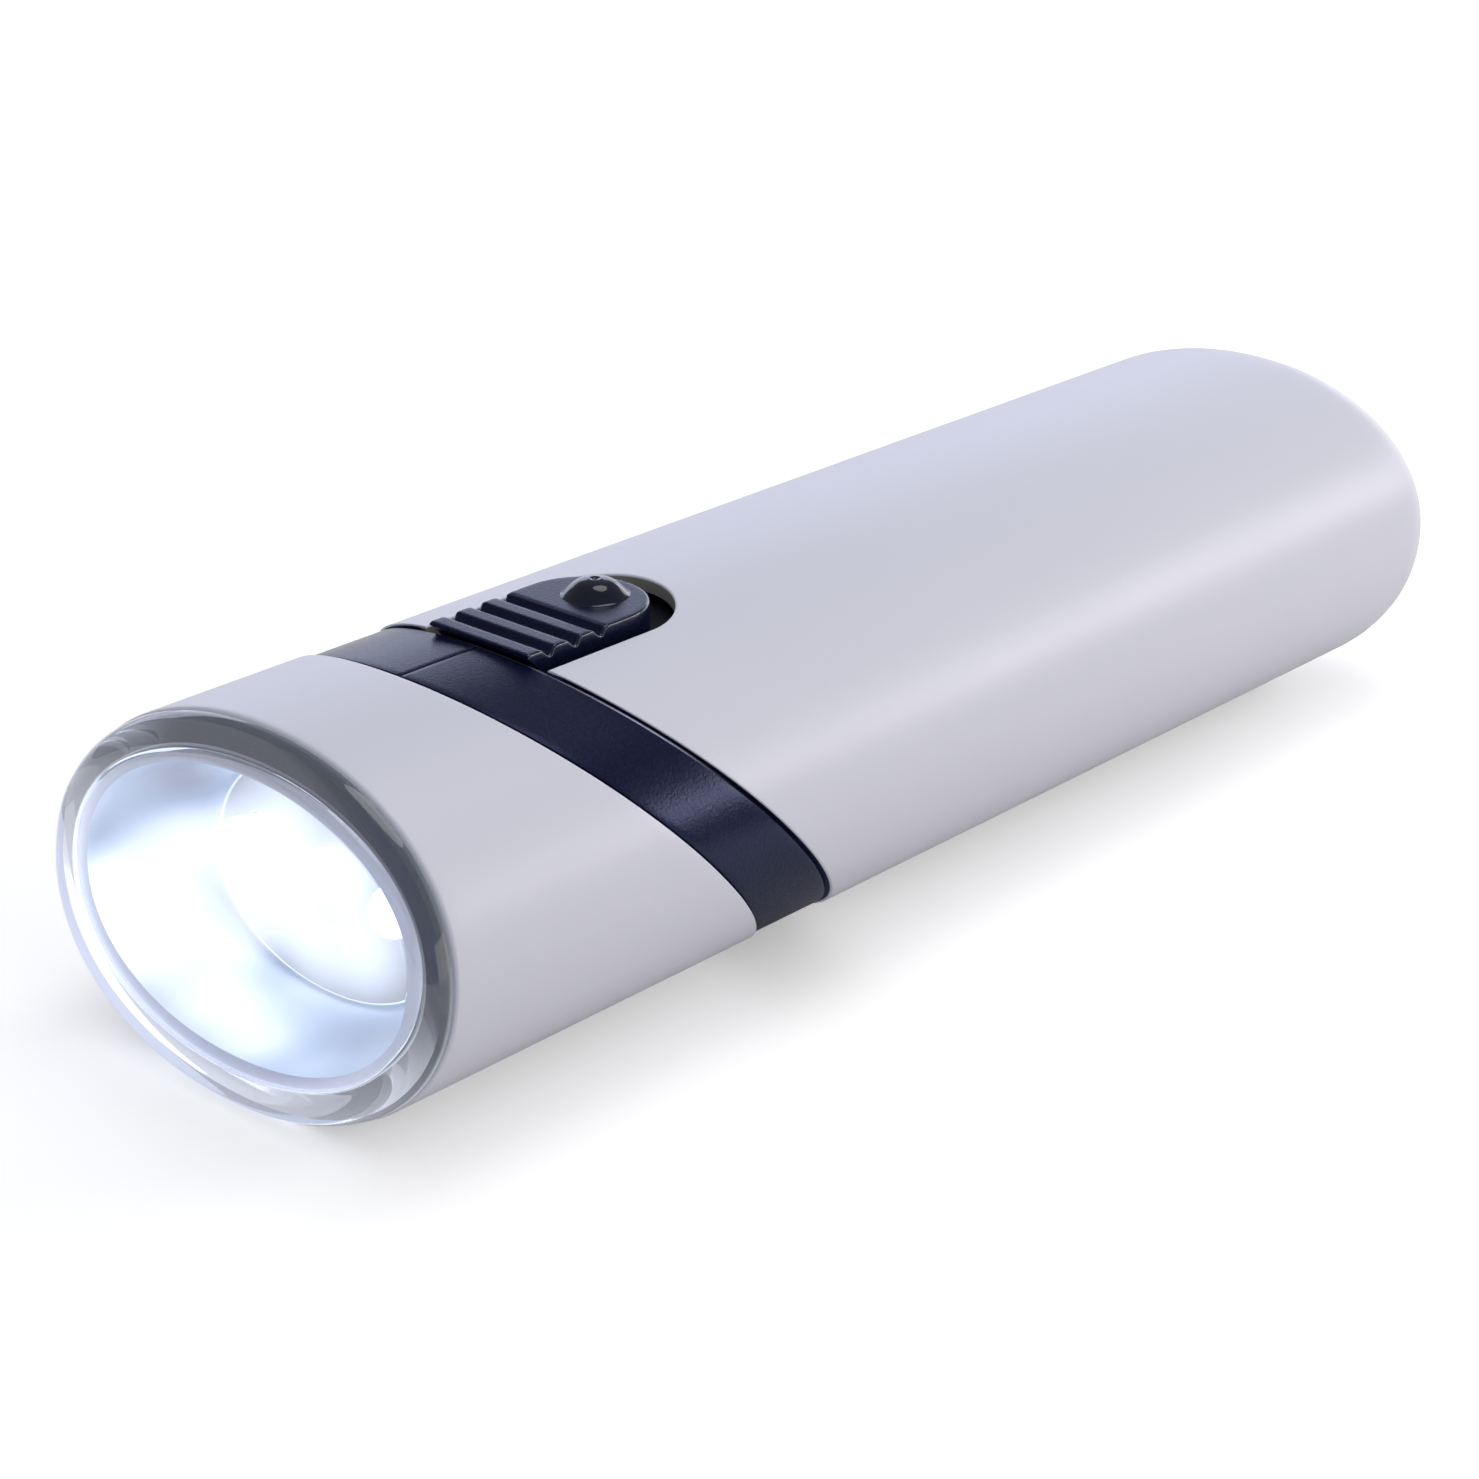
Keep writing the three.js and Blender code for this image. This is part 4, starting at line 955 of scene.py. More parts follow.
@dataclass
class ClearCap:
    """The clear front cap: flat front, rounded rim, and a skirt inside the sleeve."""

    oval: BodyOval
    rise: float = 3.0
    round_width: float = 3.0
    flange_inset: float = 0.2
    gap: float = 0.3
    thickness: float = 1.8
    skirt_inset: float = 1.7
    skirt_wall: float = 1.5
    skirt_length: float = 6.0
    inner_round: float = 0.8
    rim_steps: int = 16
    inner_steps: int = 6
    sharp_degrees: float = 30.0

    def profile(self) -> tuple[Array, Array]:
        """The cap's profile, from the flat front's edge out over the rim and back inside.

        Returns:
            Insets from the body's oval, and places along the axis.
        """
        turn = np.linspace(QUARTER, 0, self.rim_steps)
        rim_inset = self.flange_inset + (self.round_width - self.flange_inset) * (1 - np.cos(turn))
        rim_place = -self.gap - (self.rise - self.gap) * np.sin(turn)
        inner = self.skirt_inset + self.skirt_wall
        under = self.thickness - self.rise
        sin_i, cos_i = arc(self.inner_round, self.inner_steps)
        inset = np.concatenate([rim_inset, [self.skirt_inset, self.skirt_inset, inner],
                                inner + self.inner_round - cos_i])
        place = np.concatenate([rim_place, [-self.gap, self.skirt_length, self.skirt_length],
                                under + self.inner_round - sin_i])
        return inset, place

    def build(self) -> None:
        """Carries the profile round the oval and closes its two faces."""
        inset, place = self.profile()
        body = self.oval.seated(self.oval.inset_point(
            inset[:, None], place[:, None], FRONT_SLOPE, full_turn(AROUND)[None, :]))
        sheets = Sheets().grid(body).disc(body[0]).disc(body[-1])
        # Injection-moulded polycarbonate, polished and nearly colourless, with a painted glow on its rim for
        # the lamps' light
        clear = EdgeLitPlastic(
            "edge_lit_polycarbonate", "#DAE3F4", roughness=0.02, ior=1.58, grain_mm=6,
            grain_height_mm=0.0004, gloss_share=0.01, transmission=0.97, middle=self.oval.origin,
            half_width=self.oval.half_width, half_height=self.oval.half_height, slope=FRONT_SLOPE)
        piece = sheets.build("lens_cap_fine", self.oval, [clear.material()], self.sharp_degrees)
        seat(piece, Body.TORCH, "clear_lens", "lens_cap")


@dataclass
class LampUnit:
    """Reflector and lamps, which share the front face's slant."""

    oval: BodyOval
    rim_inset: float = 3.25
    rim_width: float = 1.25
    front: float = -0.4
    depth: float = 11.4
    wall: float = 1.2
    skirt_length: float = 7.0
    plate_half_width: float = 16.0
    plate_half_height: float = 11.0
    lamp_pitch: float = 10.7
    lamp_radius: float = 2.5
    lamp_flange: float = 2.9
    lamp_flange_length: float = 1.0
    lamp_length: float = 8.6
    board_centre: float = 16.0
    board_thickness: float = 1.6
    gap: float = 0.3
    hole_gap: float = 0.12
    hole_share: float = 0.992
    foot_round: float = 0.15
    hole_steps: int = 32
    around_steps: int = 192
    bowl_rings: int = 28
    back_rings: int = 14
    rim_rings: int = 3
    dome_steps: int = 14
    sharp_degrees: float = 30.0

    def lamp_places(self) -> list[float]:
        """Places of the lamps along x."""
        return [-self.lamp_pitch, 0.0, self.lamp_pitch]

    def bowl(self, turn: Array, thickness: float, around: Array) -> Array:
        """Rings of the bowl: half axes fall by the cosine while depth grows by the sine.

        Args:
            turn: a quarter turn's angles, from 0 at the rim to a right angle at the plate.
            thickness: way out from the bowl's inside.
            around: angles round the axis.
        Returns:
            The rings' points.
        """
        inset = self.rim_inset + self.rim_width
        wide = self.plate_half_width + (self.oval.half_width - inset - self.plate_half_width) * np.cos(turn)
        high = self.plate_half_height + (
            self.oval.half_height - inset - self.plate_half_height) * np.cos(turn)
        place = self.front + (self.depth + thickness) * np.sin(turn)
        spread = thickness * np.cos(turn)
        return self.oval.point(wide + spread, high + spread, place, FRONT_SLOPE, around)

    def lamp_rise(self, place: float) -> float:
        """Height at which the leaning lamps pass the slanted plane that meets the axis at y = place."""
        return (self.board_centre - place) * FRONT_SLOPE / (1 + FRONT_SLOPE ** 2)

    def hole(self, x: float) -> Array:
        """A lamp's hole: a circle (x + r cos, z + r sin) on the plate's slanted plane.

        Args:
            x: the lamp's place across the torch.
        Returns:
            The hole's points.
        """
        turn = full_turn(self.hole_steps)
        radius = self.lamp_radius + self.hole_gap
        place = self.front + self.depth
        z = self.lamp_rise(place) + radius * np.sin(turn)
        return np.stack([x + radius * np.cos(turn), place + FRONT_SLOPE * z, z], axis=-1)

    def plate(self, ring: Array) -> tuple[Array, Array]:
        """Triangles between the plate's outline and a round hole for each lamp.

        A triangle is left out where its middle lies within a share of a hole's radius, just under
        1, because those that fill the hole have it there and all others lie outside the circle.

        Args:
            ring: the plate's outline.
        Returns:
            The points, and three corner numbers a triangle.
        """
        points, edges = [], []
        for loop in (ring, *(self.hole(x) for x in self.lamp_places())):
            start, count = len(points), len(loop)
            points += [Vector(p) for p in loop[:, (0, 2)].tolist()]
            edges += [(start + i, start + (i + 1) % count) for i in range(count)]
        found, _, faces, *_ = delaunay_2d_cdt(points, edges, [], 0, TINY)
        flat, faces = np.array([tuple(v) for v in found]), np.array(faces)
        place = self.front + self.depth
        centres = np.array([(x, self.lamp_rise(place)) for x in self.lamp_places()])
        away = np.linalg.norm(flat[faces].mean(axis=1)[:, None] - centres, axis=-1)
        kept = faces[np.all(away > (self.lamp_radius + self.hole_gap) * self.hole_share, axis=1)]
        return np.stack([flat[:, 0], place + FRONT_SLOPE * flat[:, 1], flat[:, 1]], axis=-1), kept

    def finishes(self) -> list[Material]:
        """Metallised plastic, by where it lies, with the lamps' light painted on as glow.

        Returns:
            The materials in the order of the faces' numbers.
        """
        pools = self.pools()
        # Polished under the metal, with painted pools of light from the lamps
        bowl = LitChrome("lit_vacuum_chrome", "#B0B5BF", roughness=0.38, metallic=1.0, grain_mm=5,
                         grain_height_mm=0.002, gloss_share=0.03, pools=pools)
        # The flat plate under the lamps, satin, with a painted wash of light
        plate = LitChrome("lit_plate_chrome", "#AEAFB6", roughness=0.62, metallic=1.0, grain_mm=5,
                          grain_height_mm=0.002, gloss_share=0.03, pools=pools, cool="#F2EEF0",
                          floor_glow=0.26)
        # The satin rim, with an even painted glow for light from the cap's edge
        rim = LitChrome("lit_satin_chrome", "#B9BAC2", roughness=0.34, metallic=1.0, grain_mm=0.7,
                        grain_height_mm=0.003, cool="#FFF2EA", floor_glow=0.28)
        # The fillet between bowl and plate, with a strong painted glow for its reflection of the lamps
        fillet = LitChrome("lit_bright_chrome", "#D8DAE0", roughness=0.2, metallic=1.0, grain_mm=0.7,
                           grain_height_mm=0.001, cool="#FFFFFF", floor_glow=0.9)
        return [finish.material() for finish in (bowl, CHROME_BACK, rim, fillet, plate)]

    def make_reflector(self) -> Piece:
        """Bowl, rim, outer skirt and pierced plate.

        Returns:
            The reflector's object.
        """
        around = full_turn(self.around_steps)[None, :]
        inner = self.bowl(np.linspace(QUARTER, 0, self.bowl_rings)[:, None], 0.0, around)
        share = np.linspace(0, 1, self.rim_rings)[:, None]
        rim = self.oval.inset_point(self.rim_inset + self.rim_width * (1 - share), self.front,
                                    FRONT_SLOPE, around)
        skirt = self.oval.inset_point(self.rim_inset, self.front + self.skirt_length * share, FRONT_SLOPE,
                                      around)
        leave = math.asin(self.skirt_length / (self.depth + self.wall))
        outer = self.bowl(np.linspace(leave, QUARTER, self.back_rings)[:, None], self.wall, around)
        sheets = Sheets().grid(inner[:2], ChromeFace.FILLET).grid(inner[1:])
        sheets.grid(np.concatenate([inner[-1:], rim[1:]]), ChromeFace.RIM)
        sheets.grid(np.concatenate([rim[-1:], skirt[1:], outer]), ChromeFace.BACK)
        points, faces = self.plate(inner[0])
        behind = np.array([0, self.wall, 0])
        sheets.add(points, faces, ChromeFace.PLATE).add(points + behind, faces, ChromeFace.BACK)
        for x in self.lamp_places():
            hole = self.hole(x)
            sheets.grid(np.stack([hole, hole + behind]), ChromeFace.RIM)
        return sheets.build("reflector_fine", self.oval, self.finishes(), self.sharp_degrees)

    def pools(self) -> tuple[Pool, ...]:
        """Painted pools of light in the frame, each as x, y, z, size and strength.

        The first lie round the lamps, the next form a broad stripe along the lower left wall, and the last
        mend the light between them. A negative strength paints shade, taking glow away.

        Returns:
            The pools.
        """
        lamps = [(-17, 10.2, -2, 5.5, 0.8), (-6.2, 10.4, -3.5, 6, 0.65), (5, 10.2, -5, 5.5, 0.9),
                 (-7, 11.6, 4, 6, 0.7), (2, 11.3, 1.5, 5.5, 0.4), (-11, 9.8, -8.2, 4.5, 0.45),
                 (-3, 10, -7.2, 4.5, 0.45), (-19.5, 8, 0, 4, 0.35), (-15, 11.4, 3, 4, 0.35),
                 (8.7, 10, -6.4, 4, 0.15)]
        stripe = [(-20, -0.4, -5.2, 4.5, 0.7), (-19.7, 4, -3.9, 5.5, 0.45), (-15.5, 3, -8.7, 5.5, 0.75),
                  (-7.5, 1.5, -12, 5, 0.9), (0, 0.3, -12.4, 4.5, 0.6), (9, 0, -11.5, 4, 0.3),
                  (-18.4, -1, -8, 4, 0.7), (-16, -1.5, -10.8, 3.5, 0.5)]
        shade = [(-18.5, 8, 5.3, 5, -0.58), (-17, 10, 5, 3.5, -0.3), (8.6, 6.7, -10.8, 6, -0.28),
                 (-6.6, 8.2, -10.9, 3.2, -0.3), (-21.5, 0, 1.5, 3, -0.25), (1, 10, -8.5, 4, 0.18),
                 (6, 9.5, -9, 3, 0.12)]
        origin = np.array(self.oval.origin)
        return tuple((*(np.array(p[:3]) + origin), *p[3:]) for p in lamps + stripe + shade)

    def make_lamp(self, number: int, x: float) -> Piece:
        """One lamp: flange, straight side and round dome, turned about Y and leant back.

        Args:
            number: the lamp's number, from 1.
            x: its place across the torch.
        Returns:
            The lamp's object.
        """
        straight = self.lamp_length - self.lamp_radius
        sin_d, cos_d = arc(self.lamp_radius, self.dome_steps)
        foot = rounded((
            (0, 0), (self.lamp_flange, 0), (self.lamp_flange, self.lamp_flange_length),
            (self.lamp_radius, self.lamp_flange_length), (self.lamp_radius, straight),
        ), self.foot_round)
        dome = np.stack([cos_d, straight + sin_d], axis=-1)[1:]
        across, along, z = np.moveaxis(lathe(np.vstack([foot, dome])), -1, 0)
        y = -self.board_thickness / 2 - self.gap - along
        lean = math.atan(FRONT_SLOPE)
        grid = np.stack([
            across + x, y * math.cos(lean) + z * math.sin(lean) + self.board_centre,
            z * math.cos(lean) - y * math.sin(lean),
        ], axis=-1)
        return Sheets().grid(grid).build(f"lamp_{number}_fine", self.oval, [LAMP.material()])

    def build(self) -> None:
        """Makes the reflector and the three lamps."""
        seat(self.make_reflector(), Body.TORCH, "chromed_reflector", "reflector")
        for number, x in enumerate(self.lamp_places(), 1):
            seat(self.make_lamp(number, x), Body.TORCH, "led_resin", f"led_{number}")


@dataclass
class Band:
    """The dark band: the outside of the two chassis halves, with a fine seam on top and below."""

    oval: BodyOval
    band: BandPlanes
    recess: float = 0.3
    skin: float = 0.9
    edge_round: float = 0.25
    lip: float = 0.5
    lip_margin: float = 0.15
    lip_corner: float = 0.05
    lip_rise: float = 0.03
    lip_crease: float = 0.01
    lip_drop: float = 0.25
    lip_foot: float = 0.33
    highlight_height: float = 13.0
    seam_gap: float = 0.14
    seam_profile: tuple[tuple[float, float], ...] = ((0.0, 0.12), (0.03, 0.04), (0.12, 0.0))
    spare_turn: float = 0.01
    edge_steps: int = 5
    flat_rows: int = 12
    sections: int = 150

    def section(self) -> tuple[Array, Array]:
        """The band's section, from its inside at the front to its inside at the rear.

        Returns:
            Depths below the band's outside, and places along the axis.
        """
        sin_e, cos_e = arc(self.edge_round, self.edge_steps)
        across = np.linspace(0, 1, self.flat_rows)[1:-1]
        end, corner = self.band.end, self.lip_corner
        low, high = self.band.start + self.edge_round, end - self.lip - self.lip_margin
        depth = np.concatenate([[self.skin], self.edge_round - sin_e, 0 * across,
                                [0, self.lip_crease, self.lip_drop, self.lip_foot, self.skin]])
        place = np.concatenate([
            [self.band.start], low - cos_e, low + (high - low) * across,
            [end - self.lip - corner, end - self.lip + self.lip_rise, end - corner, end, end],
        ])
        return depth, place

    def half(self, side: int) -> Piece:
        """The section carried from seam to seam round one side, sunk a little beside the seams.

        Args:
            side: 1 for +x and -1 for -x.
        Returns:
            The half's object.
        """
        depth, place = self.section()
        from_seam, sink = np.array(self.seam_profile).T
        ends = self.oval.turn_at(self.seam_gap / 2 + from_seam)
        steps = np.linspace(-QUARTER, QUARTER, self.sections)[1:-1]
        turn = np.concatenate([-ends, steps[np.abs(steps) < ends[-1] - self.spare_turn], ends[::-1]])
        extra = np.concatenate([sink, np.zeros(len(turn) - 2 * len(sink)), sink[::-1]])[:, None]
        grid = self.oval.inset_point(self.recess + depth + extra * (depth < self.skin), place,
                                     self.band.slope, turn[:, None])
        grid[..., 0] *= side
        # The strip with the painted highlight runs from the lip's crease, the fourth point from the end, to
        # the next
        crease = len(depth) - 4
        sheets = Sheets().grid(grid[:, :crease + 1], wrap_cols=False)
        sheets.grid(grid[:, crease:crease + 2], GlossEdgeFace.EDGE, wrap_cols=False)
        sheets.grid(grid[:, crease + 1:], wrap_cols=False)
        sheets.grid(grid[:, (-1, 0)], wrap_cols=False).disc(grid[0]).disc(grid[-1])
        # The band's ABS, glossier on its rear lip, with a pale highlight painted there, brightest half way up
        # the flank
        lip_highlight = PaintedHighlight("navy_lip_painted_highlight", "#10162E", roughness=0.2, ior=1.53, coat=0.8, grain_mm=0.35,
                       grain_height_mm=0.002, gloss_share=0.03,
                       middle_mm=self.oval.origin[2] + self.highlight_height)
        name = "band_right_fine" if side > 0 else "band_left_fine"
        return sheets.build(name, self.oval, [NAVY.material(), lip_highlight.material()])

    def build(self) -> None:
        """Makes both halves of the band."""
        for side in (1, -1):
            seat(self.half(side), Body.TORCH, "dark_chassis")


@dataclass
class ThumbSlide:
    """The thumb slide: undercut lip, grip ridges, flat pad with a round rear end, and a knob."""

    oval: BodyOval
    band: BandPlanes
    half_width: float = 6.5
    straight: float = 13.2
    rise: float = 0.5
    height: float = 2.5
    edge_round: float = 0.28
    nose: float = 0.35
    ridge_pitch: float = 3.3
    ridge_depth: float = 0.75
    ridges: int = 3
    ridge_table: tuple[tuple[float, float], ...] = (
        (0, 0.14), (0.03, 0.05), (0.07, 0.01), (0.12, 0), (0.42, 0.02), (0.49, 0.06), (0.55, 0.16),
        (0.61, 0.34), (0.67, 0.58), (0.73, 0.82), (0.79, 0.95), (0.84, 1), (0.88, 0.97), (0.92, 0.84),
        (0.95, 0.6), (0.98, 0.34), (1, 0.14),
    )
    least_side: float = 0.05
    knob_radius: float = 3.4
    knob_height: float = 1.6
    knob_setback: float = 2.0
    knob_sink: float = 0.02
    bell_powers: tuple[float, float] = (3.4, 1.7)
    navel: tuple[tuple[float, float, float], ...] = ((-0.1, 0.0, 0.08), (0.025, 0.17, 0.05))
    stem_place: float = 9.5
    stem_half_width: float = 2.0
    stem_half_length: float = 2.5
    stem_overlap: float = 0.3
    stem_drop: float = 4.3
    stem_power: float = 0.35
    ridge_stations: int = 34
    pad_stations: int = 10
    end_stations: int = 30
    edge_columns: int = 6
    top_columns: int = 14
    side_rows: int = 4
    stem_sides: int = 32
    knob_rings: int = 56
    knob_sides: int = 64
    sharp_degrees: float = 32.0

    def __post_init__(self) -> None:
        """Works out the slide's own places."""
        self.front = self.band.end + self.band.slope * self.oval.half_height
        self.top = self.oval.half_height + self.rise
        self.round_centre = self.front + self.straight

    def crest(self, y: Array) -> Array:
        """Height of the slide's middle along y: ridges, then the flat pad.

        Over one pitch the round crest falls gently to the valley and a steep wall stands up to the
        next crest, by the shares in the table.

        Args:
            y: places along the axis.
        Returns:
            Heights above the axis.
        """
        along = (y - self.front) / self.ridge_pitch
        share = along - np.floor(along)
        down = np.interp(share, *np.array(self.ridge_table).T)
        return self.top - np.where(along < self.ridges, self.ridge_depth * down, 0)

    def stations(self) -> Array:
        """Places of the sections along y, closer on the ridges and at the round end.

        Returns:
            The places.
        """
        ridged = np.linspace(self.front, self.front + self.ridges * self.ridge_pitch,
                             self.ridge_stations * self.ridges)
        pad = np.linspace(ridged[-1], self.round_centre, self.pad_stations)[1:]
        swing = np.linspace(0, QUARTER, self.end_stations)[1:]
        return np.concatenate([ridged, pad, self.round_centre + self.half_width * np.sin(swing)])

    def top_height(self, x: Array, y: Array) -> Array:
        """Height of the top: the crest, less r - sqrt(r^2 - (r - d)^2) within r of the outline.

        Args:
            x: ways from the middle.
            y: places along the axis.
        Returns:
            Heights above the axis.
        """
        past = np.maximum(y - self.round_centre, 0)
        edge = self.half_width - np.hypot(x, past)
        lack = np.clip(self.edge_round - edge, 0, self.edge_round)
        fall = self.edge_round - np.sqrt(self.edge_round ** 2 - lack ** 2)
        return self.crest(y) - fall

    def make_pad(self) -> Piece:
        """Sections across the slide, carried along it: sides, rounded edges and a ridged top.

        The top's half width at a place is sqrt(rho^2 - past^2), with rho falling from the slide's half
        width to 0 and past the way beyond the round end's centre.

        Returns:
            The pad's object.
        """
        y = self.stations()[:, None]
        past = np.maximum(y - self.round_centre, 0)
        swing = np.linspace(QUARTER, 0, self.edge_columns)
        rho = np.concatenate([
            self.half_width - self.edge_round * (1 - np.sin(swing)),
            np.linspace(self.half_width - self.edge_round, 0, self.top_columns)[1:],
        ])[None, :]
        reach = np.sqrt(np.maximum(rho ** 2 - past ** 2, 0))
        height = self.top_height(reach, y + 0 * reach)
        right = np.stack([reach, y + 0 * reach, height], axis=-1)
        left = right[:, :-1][:, ::-1] * MIRROR_X
        floor = np.maximum(self.top - self.height, self.top - self.nose - (y - self.front))
        floor = np.minimum(floor, height[:, :1] - self.least_side)
        side_z = floor + (height[:, :1] - floor) * np.linspace(0, 1, self.side_rows)[None, :]
        right_side = np.stack(np.broadcast_arrays(reach[:, :1], y, side_z), axis=-1)[:, :-1]
        left_side = (right_side * MIRROR_X)[:, ::-1]
        section = np.concatenate([right_side, right, left, left_side], axis=1)
        first, count = right_side.shape[1], section.shape[1]
        last = first + self.edge_columns - 1
        sheets = Sheets().grid(section[:, first:last + 1], GlossEdgeFace.EDGE, wrap_cols=False)
        sheets.grid(section[:, last:count - last], wrap_cols=False)
        sheets.grid(section[:, count - 1 - last:count - first], GlossEdgeFace.EDGE, wrap_cols=False)
        sheets.grid(section[:, np.r_[count - 1 - first:count, 0:first + 1]], wrap_cols=False)
        stem = self.stem()
        sheets.disc(section[0]).grid(stem).disc(stem[0]).disc(stem[-1])
        return sheets.build("slide_pad_fine", self.oval, [NAVY.material(), NAVY_EDGE.material()],
                            self.sharp_degrees)

    def stem(self) -> Array:
        """Rounded-square rings, sgn(cos)|cos|^0.35, of the stem that goes down through the deck.

        Returns:
            The two rings.
        """
        turn = full_turn(self.stem_sides)[None, :]
        x, y = (np.sign(way) * np.abs(way) ** self.stem_power * half for way, half in (
            (np.cos(turn), self.stem_half_width), (np.sin(turn), self.stem_half_length)))
        upper = self.top - self.height + self.stem_overlap
        z = np.array([upper, upper - self.stem_drop])[:, None]
        return np.stack(np.broadcast_arrays(x, self.front + self.stem_place + y, z), axis=-1)

    def make_knob(self) -> Piece:
        """A dome, h * (1 - r^3.4)^1.7, whose foot flares, with a small ringed navel on top.

        The navel is a sum of c * exp(-((r - r0) / s)^2), with c, r0 and s from its table.

        Returns:
            The knob's object.
        """
        r = np.linspace(0, 1, self.knob_rings)
        bell = (1 - r ** self.bell_powers[0]) ** self.bell_powers[1]
        navel = sum(c * np.exp(-((r - r0) / s) ** 2) for c, r0, s in self.navel)
        h = (self.knob_height * (bell + navel) - self.knob_sink)[:, None]
        turn = full_turn(self.knob_sides)[None, :]
        r = (r * self.knob_radius)[:, None]
        middle = self.round_centre + self.knob_setback
        grid = np.stack([r * np.cos(turn), middle + r * np.sin(turn), self.top + h + 0 * turn], axis=-1)
        whole = np.concatenate([grid, grid[-1:] - np.array([0, 0, self.height / 2])])
        sheets = Sheets().grid(whole).disc(whole[-1])
        return sheets.build("slide_knob_fine", self.oval, [NAVY_GLOSS.material()])

    def build(self) -> None:
        """Makes the pad with its stem, and the knob."""
        seat(self.make_pad(), Body.SLIDE, "dark_slide", "slider_button")
        seat(self.make_knob(), Body.SLIDE, "dark_slide")


@dataclass
class Cells:
    """The two dry cells: jacket, end caps and positive nub."""

    oval: BodyOval
    nub: Profile = ((0.0, 0.0), (3.3, 0.0), (3.3, 1.5), (11.02, 1.5))
    jacket: Profile = ((11.02, 1.5), (11.18, 1.25), (12.3, 1.3), (13.1, 2.3), (13.1, 49.2), (12.3, 50.0),
                       (11.5, 50.0))
    base: Profile = ((11.5, 50.0), (11.26, 49.65), (9.9, 49.6), (9.1, 49.85), (0.0, 49.85))
    metal_round: float = 0.4
    jacket_round: float = 0.5
    sides: int = 72

    def starts(self) -> dict[str, float]:
        """Where each cell's nub tip lies along the axis."""
        names = ("cell_front", "cell_rear")
        return {name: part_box(name)[0][1] / MM - self.oval.origin[1] for name in names}

    def make(self, name: str, start: float, finishes: list[Material]) -> Piece:
        """One cell, turned about Y: nub, shoulder, jacket with folded ends, and dished base.

        Args:
            name: the cell's node.
            start: place of its nub's tip on the axis.
            finishes: jacket and metal.
        Returns:
            The cell's object.
        """
        sheets = Sheets()
        for pairs, radius, face in ((self.nub, self.metal_round, CellFace.METAL),
                                    (self.jacket, self.jacket_round, CellFace.JACKET),
                                    (self.base, self.metal_round, CellFace.METAL)):
            sheets.grid(lathe(rounded(pairs, radius) + np.array([0, start]), self.sides), face)
        return sheets.build(f"{name}_fine", self.oval, finishes)

    def build(self) -> None:
        """Makes both cells."""
        starts = self.starts()
        # Printed shrink film over the can: smooth and glossy
        jacket = CellJacket("printed_shrink_film", "#2E3A4E", roughness=0.28, ior=1.5, grain_mm=3,
                            grain_height_mm=0.003,
                            starts=tuple(s + self.oval.origin[1] for s in starts.values()))
        for name, start in starts.items():
            piece = self.make(name, start, [jacket.material(), CELL_CAP.material()])
            seat(piece, Body.TORCH, "cell_jacket", name)


@dataclass
class TailSpring:
    """The conical tail spring: a round wire whose centre line widens and rises at a steady rate."""

    oval: BodyOval
    wire: float = 0.8
    turns: float = 3.0
    wide_radius: float = 8.0
    narrow_radius: float = 3.0
    rings: int = 220
    wire_sides: int = 12

    def build(self) -> None:
        """Carries a circle along (r(s) cos, y(s), r(s) sin) and closes both ends."""
        low, high = (np.array(corner) / MM - np.array(self.oval.origin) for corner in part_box("tail_spring"))
        share = np.linspace(0, 1, self.rings)[:, None]
        turn = FULL_TURN * self.turns * share
        radius = self.narrow_radius + (self.wide_radius - self.narrow_radius) * share
        half = self.wire / 2
        start, end = low[1] + half, high[1] - half
        y = start + (end - start) * share
        around = full_turn(self.wire_sides)[None, :]
        reach = radius + half * np.cos(around)
        grid = np.stack([reach * np.cos(turn), y + half * np.sin(around), reach * np.sin(turn)], axis=-1)
        piece = Sheets().grid(grid).disc(grid[0]).disc(grid[-1]).build(
            "tail_spring_fine", self.oval, [SPRING.material()])
        seat(piece, Body.TORCH, "spring_steel", "tail_spring")


